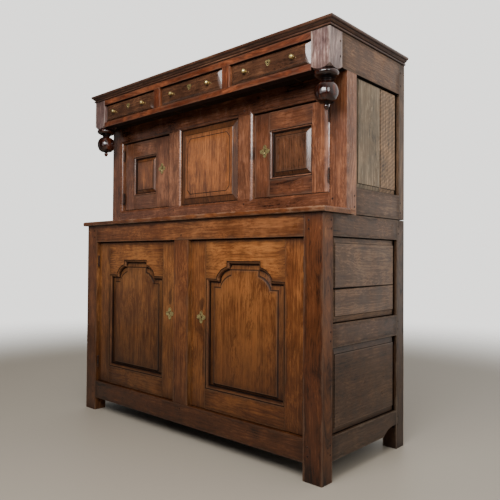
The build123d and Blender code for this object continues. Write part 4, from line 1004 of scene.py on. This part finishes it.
# ---------------------------------------------------------------- drawers
# Bevelled fronts of darker oak on plain boxes, with two turned brass knobs and a small
# three-lobed plate on each.
drawer_oak = oak(
    "drawer_oak_waxed", (28, 17, 12), (66, 45, 33), (112, 80, 58), 0.2, 1.0,
    streaks=0.5, clouds=0.7, rings=0.1, wear=0.5, grime=0.6, shade=0.0,
)
inner_oak = oak(
    "inner_oak_dry", (58, 38, 22), (122, 88, 56), (168, 132, 92), 0.55, 0.0,
    streaks=0.7, clouds=0.8, rings=0.3, wear=0.3, grime=0.5, shade=0.3,
)
knob = [
    (0, -16.4, 0), (3.4, -15.9, 0), (6.2, -14.4, 0), (8.2, -12.0, 0), (9.0, -9.0, 0), (8.5, -6.4, 0),
    (7.0, -4.4, 0), (5.0, -3.2, 0), (4.6, -2.8, 0.5), (4.6, -2.2, 0.7), (5.2, -1.8, 0.3), (7.4, -1.6, 0),
    (7.8, -1.0, 0), (7.6, -0.2, 0.6), (3.0, -0.1, 0.6), (3.0, 10.0, 0), (0, 10.0, 0),
]
knob_apart, knob_stands, plate_reach = 117.0, 22.0, 30.0
end_reach, end_slope, rim_back, rim_loss = 150, 7.0, 10, 3.0
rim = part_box("frieze_frame")[0].y + rim_back * MM
for drawer in ("left_drawer", "middle_drawer", "right_drawer"):
    front, brasses = f"{drawer}_front", f"{drawer}_brasses"
    low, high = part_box(front)
    middle, knob_height = (low.x + high.x) / 2, (low.z + high.z) / 2 / MM
    mesh = copied(front)
    for vert in mesh.verts:
        if vert.co.y < low.y + 0.1 * MM and abs(vert.co.x - middle) > end_reach * MM:
            vert.co.x -= math.copysign(end_slope * MM, vert.co.x - middle)
        elif abs(vert.co.y - rim) < 0.1 * MM:
            vert.co.y += rim_loss * MM
    finished(
        planed(mesh, 0.7), f"{front}_oak", drawer, drawer_oak, [front],
        tone=(0.0, 0.0, 0.0, 0.4),
    )
    dressed(f"{drawer}_box", inner_oak, body=drawer, ease=0.8)
    low, high = box_of(brasses)
    middle, knob_face = (low.x + high.x) / 2, low.y + knob_stands
    mesh = copied(brasses)
    knobs = [vert for vert in mesh.verts if abs(vert.co.x / MM - middle) > plate_reach]
    bmesh.ops.delete(mesh, geom=knobs, context="VERTS")
    planed(mesh, metal_ease, metal_shortest)
    for side in (-1, 1):
        x = middle + side * knob_apart
        turned(mesh, knob, lambda a, b, h: Vector((x + a, knob_face + h, knob_height + b)) * MM, 24)
    finished(mesh, f"{brasses}_metal", drawer, brass, [brasses])

# ---------------------------------------------------------------- ledge, cornice and top
# The ledge over the lower stage, the moulded cornice mitred round three sides, and the loose
# boards that close the top.
ledge_oak = oak(
    "ledge_oak_waxed", (34, 18, 11), (88, 53, 31), (136, 92, 58), 0.3, 0.5,
    streaks=0.7, clouds=0.6, rings=0.08, wear=0.9, grime=0.1, shade=0.0, dry=1.0,
)
dressed("waist_ledge", ledge_oak, ease=2.6, tone=(-0.04, 0.3, 0.0, 0.5))

cornice_oak = oak(
    "cornice_oak_waxed", (34, 21, 15), (70, 46, 34), (110, 82, 62), 0.3, 0.6,
    streaks=0.8, clouds=0.8, rings=0.15, wear=0.2, grime=0.6, shade=0.0,
)
cornice_low, cornice_high = box_of("cornice")
side_reach, front_reach, cornice_seat = cornice_high.x - post_high.x, post_low.y - cornice_low.y, 21.0
# the section of the cornice: its share of the reach, its height, and its dirt and painted shade
bands = [
    (-1.0, 0.0, 1.0), (0.02, 0.0, 1.0), (0.12, 0.2, 1.0), (0.28, 1.6, 0.2), (0.34, 3.6, 0.0),
    (0.34, 5.2, 0.0), (0.28, 7.4, 0.3), (0.14, 8.8, 0.7), (0.14, 10.6, 0.7), (0.24, 11.2, 0.4),
    (0.36, 13.0, 0.0), (0.50, 15.4, 0.0), (0.62, 17.0, 0.2), (0.62, 17.6, 0.7), (0.62, 19.2, 0.7),
    (0.72, 19.8, 0.4), (0.84, 21.0, 0.0), (0.95, 22.8, 0.0), (1.0, 25.2, 0.0), (1.0, 27.6, 0.0),
    (0.97, 30.2, 0.0), (0.88, 32.0, 0.0), (-1.0, 32.0, 0.3),
]
band_points = [(share, height) for share, height, _ in bands]
band_dirt_and_shade = tuple(dirt_and_shade for *_, dirt_and_shade in bands)


def cornice_point(share, height, end_x, end_y):
    """A point of the moulding at a mitre or at a square end behind."""
    x = post_high.x + share * (side_reach if share > 0 else cornice_seat)
    y = post_low.y - share * (front_reach if share > 0 else cornice_seat)
    return Vector((end_x * x, y if end_y is None else end_y, cornice_low.z + height)) * MM


mesh = bmesh.new()
for run, ends in (
    (0, ((-1, None), (1, None))),
    (1, ((-1, None), (-1, cornice_high.y))),
    (1, ((1, None), (1, cornice_high.y))),
):
    shaped(
        mesh, [(band_points, end, band_dirt_and_shade, 0.0) for end in (0, 1)],
        lambda a, b, end: cornice_point(a, b, *ends[end]), lambda n: run,
    )
finished(mesh, "cornice_oak", "case", cornice_oak, ["cornice"], tone=(0.0, 0.1, 0.0, 0.3))

board_oak = oak(
    "board_oak_rough", (40, 27, 18), (98, 74, 52), (146, 118, 88), 0.62, 0.0,
    streaks=0.8, clouds=1.1, rings=0.3, wear=0.35, grime=0.8, shade=0.4,
)
dressed("top_boards", board_oak, ease=1.4)

# ---------------------------------------------------------------- inside and back
# Floors, shelf, bearers, guides and dust boards of dry oak, and the boards nailed to the back,
# which lie a little deeper here so that the heads of their nails stay inside the case's depth.
for node in (
    "lower_floor_boards", "lower_shelf", "lower_top_boards", "upper_floor_boards", "dust_boards",
    "board_bearers", "drawer_guides", "back_rails",
):
    dressed(node, inner_oak)
nail_proud = 0.9
back_boards = ("lower_back_boards", "upper_back_boards")
for node in back_boards:
    mesh = copied(node)
    back_face = max(vert.co.y for vert in mesh.verts)
    for vert in mesh.verts:
        if vert.co.y > back_face - 0.1 * MM:
            vert.co.y -= nail_proud * MM
    finished(
        planed(mesh, 1.4), f"{node}_oak", "case", board_oak, [node],
        tone=(0.0, 0.0, 0.0, 0.4),
    )

# ---------------------------------------------------------------- pegs and nails
# Riven oak pegs driven through the tenons, a little proud now that the rails have shrunk,
# and forged nails through the back boards into the rails. Each has a few rough facets.


def driven_tree():
    """One peg or nail at each point, turned to the axis that the point has, all uneven."""
    tree = bpy.data.node_groups.new("driven_in", "GeometryNodeTree")
    for key, kind, value in (
        ("Geometry", "Geometry", None), ("Facets", "Int", 8), ("Radius", "Float", 0.0045),
        ("Length", "Float", 0.03), ("Crown", "Float", 0.0008), ("Crown Width", "Float", 0.7),
        ("Unevenness", "Float", 0.1), ("Seed", "Int", 4), ("Finish", "Material", None),
    ):
        socket = tree.interface.new_socket(key, in_out="INPUT", socket_type=f"NodeSocket{kind}")
        if value is not None:
            socket.default_value = value
    tree.interface.new_socket("Geometry", in_out="OUTPUT", socket_type="NodeSocketGeometry")
    taken = tree.nodes.new("NodeGroupInput").outputs
    given = tree.nodes.new("NodeGroupOutput").inputs

    # a disc drawn out to a shank, with a smaller crown on its head
    values = {"Vertices": taken["Facets"], "Radius": taken["Radius"]}
    disc = put(tree, "GeometryNodeMeshCircle", values, fill_type="NGON").outputs[0]
    up = put(tree, "ShaderNodeCombineXYZ", {2: 1.0}).outputs[0]
    values = {"Mesh": disc, "Offset": up, "Offset Scale": taken["Length"]}
    shank = put(tree, "GeometryNodeExtrudeMesh", values).outputs
    values = {
        "Mesh": shank["Mesh"], "Selection": shank["Top"], "Offset": up, "Offset Scale": taken["Crown"],
    }
    head = put(tree, "GeometryNodeExtrudeMesh", values).outputs
    values = {"Geometry": head["Mesh"], "Selection": head["Top"], "Scale": taken["Crown Width"]}
    crown = put(tree, "GeometryNodeScaleElements", values).outputs[0]
    whole = put(tree, "GeometryNodeJoinGeometry")
    for part in (crown, disc):
        tree.links.new(part, whole.inputs[0])
    values = {"Geometry": whole.outputs[0], "Distance": 1e-6}
    whole = put(tree, "GeometryNodeMergeByDistance", values).outputs[0]
    depth = sum_of(tree, "ADD", taken["Length"], taken["Crown"])
    down = put(tree, "ShaderNodeCombineXYZ", {2: sum_of(tree, "MULTIPLY", depth, -1.0)}).outputs[0]
    whole = put(tree, "GeometryNodeTransform", {"Geometry": whole, "Translation": down}).outputs[0]

    # one at each point, spun and squashed at random
    axis = put(
        tree, "GeometryNodeInputNamedAttribute", {"Name": "axis"}, data_type="FLOAT_VECTOR"
    ).outputs[0]
    turned_to = put(tree, "FunctionNodeAlignRotationToVector", {"Vector": axis}, axis="Z").outputs[0]
    spin = put(tree, "FunctionNodeRandomValue", {3: math.tau, 8: taken["Seed"]}).outputs[1]
    spun = put(tree, "ShaderNodeCombineXYZ", {2: spin}).outputs[0]
    values = {0: turned_to, 1: spun}
    turned_to = put(tree, "FunctionNodeRotateRotation", values, rotation_space="LOCAL").outputs[0]
    least = sum_of(tree, "SUBTRACT", 1.0, taken["Unevenness"])
    sides = []
    for n in (1, 2):
        values = {2: least, 3: 1.0, 8: sum_of(tree, "ADD", taken["Seed"], n)}
        sides.append(put(tree, "FunctionNodeRandomValue", values).outputs[1])
    scale = put(tree, "ShaderNodeCombineXYZ", {0: sides[0], 1: sides[1], 2: 1.0}).outputs[0]
    values = {"Points": taken["Geometry"], "Instance": whole, "Rotation": turned_to, "Scale": scale}
    placed = put(tree, "GeometryNodeInstanceOnPoints", values).outputs[0]
    real = put(tree, "GeometryNodeRealizeInstances", {"Geometry": placed}).outputs[0]
    done = put(tree, "GeometryNodeSetMaterial", {"Geometry": real, "Material": taken["Finish"]}).outputs[0]
    tree.links.new(done, given[0])
    return tree


driven = driven_tree()


def drive(name, places, finish, **sizes):
    """The mesh of all the pegs or nails at the places: each a point and the way its head faces."""
    data = bpy.data.meshes.new(name)
    data.from_pydata([point for point, _ in places], [], [])
    axes = data.attributes.new("axis", "FLOAT_VECTOR", "POINT")
    axes.data.foreach_set("vector", [part for _, way in places for part in way])
    points = bpy.data.objects.new(name, data)
    modifier = points.modifiers.new("driven", "NODES")
    modifier.node_group = driven
    values = {"Finish": finish, **{key.replace("_", " ").title(): value for key, value in sizes.items()}}
    for item in driven.interface.items_tree:
        if item.in_out == "INPUT" and item.name in values:
            modifier[item.identifier] = values[item.name]
    bpy.context.scene.collection.objects.link(points)
    made = bpy.data.meshes.new_from_object(points.evaluated_get(bpy.context.evaluated_depsgraph_get()))
    points.modifiers.remove(modifier)
    bpy.data.objects.remove(points)
    mesh = bmesh.new()
    mesh.from_mesh(made)
    bmesh.ops.recalc_face_normals(mesh, faces=mesh.faces)
    return mesh


def boxes_of(node):
    """The lowest and the highest corner of each solid in a node."""
    solids = copied(node)
    for board in loose_boards(solids):
        _, low, high = reach_of(board)
        yield low, high
    solids.free()


peg_proud = 0.5 * MM
places = []
for low, high in boxes_of("frame_pegs"):
    size, centre = high - low, (low + high) / 2
    way = Vector((math.copysign(1, centre.x), 0, 0)) if size.x > size.y else Vector((0, -1, 0))
    places.append((centre + way * (max(size) / 2 + peg_proud), way))
peg_radius, peg_length = min(size) / 2, max(size)
peg_oak = oak(
    "peg_oak_dark", (20, 12, 8), (58, 36, 24), (96, 66, 44), 0.4, 0.3,
    streaks=0.5, clouds=0.8, rings=0.1, wear=0.3, grime=0.5, shade=0.5,
)
finished(
    drive(
        "frame_pegs", places, peg_oak, facets=9, radius=peg_radius * 0.98, length=peg_length,
        crown=0.7 * MM, crown_width=0.76, unevenness=0.1, seed=7,
    ),
    "frame_pegs_oak", "case", peg_oak, ["frame_pegs"], tone=(0.0, 0.0, 0.0, 0.0),
)

places = []
nail_edge = 16 * MM
rails = list(boxes_of("back_rails"))
for node in back_boards:
    for low, high in boxes_of(node):
        for rail_low, rail_high in rails:
            height = (rail_low.z + rail_high.z) / 2
            if low.z < height < high.z and rail_low.x < low.x + nail_edge < rail_high.x:
                for x in (low.x + nail_edge, high.x - nail_edge):
                    places.append((Vector((x, high.y, height)), Vector((0, 1, 0))))
finished(
    drive(
        "back_nails", places, iron, facets=6, radius=4.2 * MM, length=6 * MM,
        crown=0.8 * MM, crown_width=0.45, unevenness=0.2, seed=3,
    ),
    "back_nails_metal", "case", iron,
)

# ---------------------------------------------------------------- the room
# A pale floor, pale walls brightest behind to the right, a window in front and a smaller one
# beside the camera, and dim ones that only the polish shows.
floor_finish, tree, shader = new_finish("pale_floor")
case = put(tree, "ShaderNodeTexCoord").outputs["Object"]
outward = fade(tree, moved(tree, "LENGTH", case), 2.0, 5.0)
shader.inputs["Base Color"].default_value = stain(150, 141, 128)
shader.inputs["Roughness"].default_value = 0.5
clear = put(tree, "ShaderNodeBsdfTransparent")
both = put(tree, "ShaderNodeMixShader", {0: outward, 1: shader.outputs[0], 2: clear.outputs[0]})
tree.links.new(both.outputs[0], tree.nodes["Material Output"].inputs[0])
ground = bmesh.new()
bmesh.ops.create_circle(ground, cap_ends=True, radius=6.0, segments=64)
data = bpy.data.meshes.new("floor")
ground.to_mesh(data)
ground.free()
data.materials.append(floor_finish)
floor = bpy.data.objects.new("floor", data)
bpy.context.scene.collection.objects.link(floor)

world = bpy.data.worlds.new("room")
bpy.context.scene.world = world
world.use_nodes = True
tree = world.node_tree
back = tree.nodes["Background"]
way = put(tree, "ShaderNodeTexCoord").outputs["Generated"]
toward = moved(tree, "DOT_PRODUCT", way, (0.55, 0.62, 0.56))
seen = put(tree, "ShaderNodeLightPath").outputs["Is Camera Ray"]
wall = fade(tree, toward, -0.3, 0.9, 0.04, 1.1)
light = put(tree, "ShaderNodeMix", {0: seen, 2: wall, 3: 1.8}, data_type="FLOAT").outputs[0]
back.inputs["Color"].default_value = (1.0, 0.985, 0.95, 1.0)
tree.links.new(light, back.inputs["Strength"])


def window(name, place, aim, size, power, mirrored, lights):
    """A soft light of a window's size that looks at a point, mirrored in polish or lighting."""
    data = bpy.data.lights.new(name, "AREA")
    data.shape, data.size, data.size_y, data.energy = "RECTANGLE", *size, power
    lamp = bpy.data.objects.new(name, data)
    turn = (Vector(aim) - Vector(place)).to_track_quat("-Z", "Y").to_matrix().to_4x4()
    lamp.matrix_world = Matrix.Translation(place) @ turn
    lamp.visible_camera, lamp.visible_glossy, lamp.visible_diffuse = False, mirrored, lights
    bpy.context.scene.collection.objects.link(lamp)


window("tall_window", (0.9, -1.9, 2.5), (0.3, -0.2, 1.2), (1.6, 1.7), 105, False, True)
window("front_window", (1.08, -2.35, 2.1), (1.08, -0.2, 2.1), (1.55, 0.9), 85, True, False)
window("window_wall", (1.08, -2.35, 1.4), (1.08, -0.2, 1.4), (1.55, 0.5), 6, True, False)
window("pale_wall", (-0.15, -2.35, 1.6), (-0.15, -0.2, 1.6), (0.9, 1.5), 7, True, False)
window("far_window", (-3.4, -2.35, 1.1), (-0.4, -0.2, 1.1), (2.0, 2.2), 3.5, True, False)
window("side_window", (3.0, -1.9, 2.0), (0.5, 0.0, 1.3), (0.9, 1.4), 26, True, True)

# ---------------------------------------------------------------- the camera
# It stands to the right of the front at half the height of the case, so that the top isn't
# seen. It is turned by its heading, its tilt and its roll.
camera = bpy.data.objects.new("camera", bpy.data.cameras.new("camera"))
bpy.context.scene.collection.objects.link(camera)
camera.data.sensor_width = 36
camera.data.lens = 39.745
camera.matrix_world = (
    Matrix.Translation((1.7873, -1.8017, 0.7572))
    @ Matrix.Rotation(math.radians(42.423), 4, "Z")
    @ Matrix.Rotation(math.radians(0.910), 4, "X")
    @ Matrix.Rotation(math.radians(-0.397), 4, "Y")
    @ Matrix.Rotation(math.radians(90), 4, "X")
)
bpy.context.scene.camera = camera
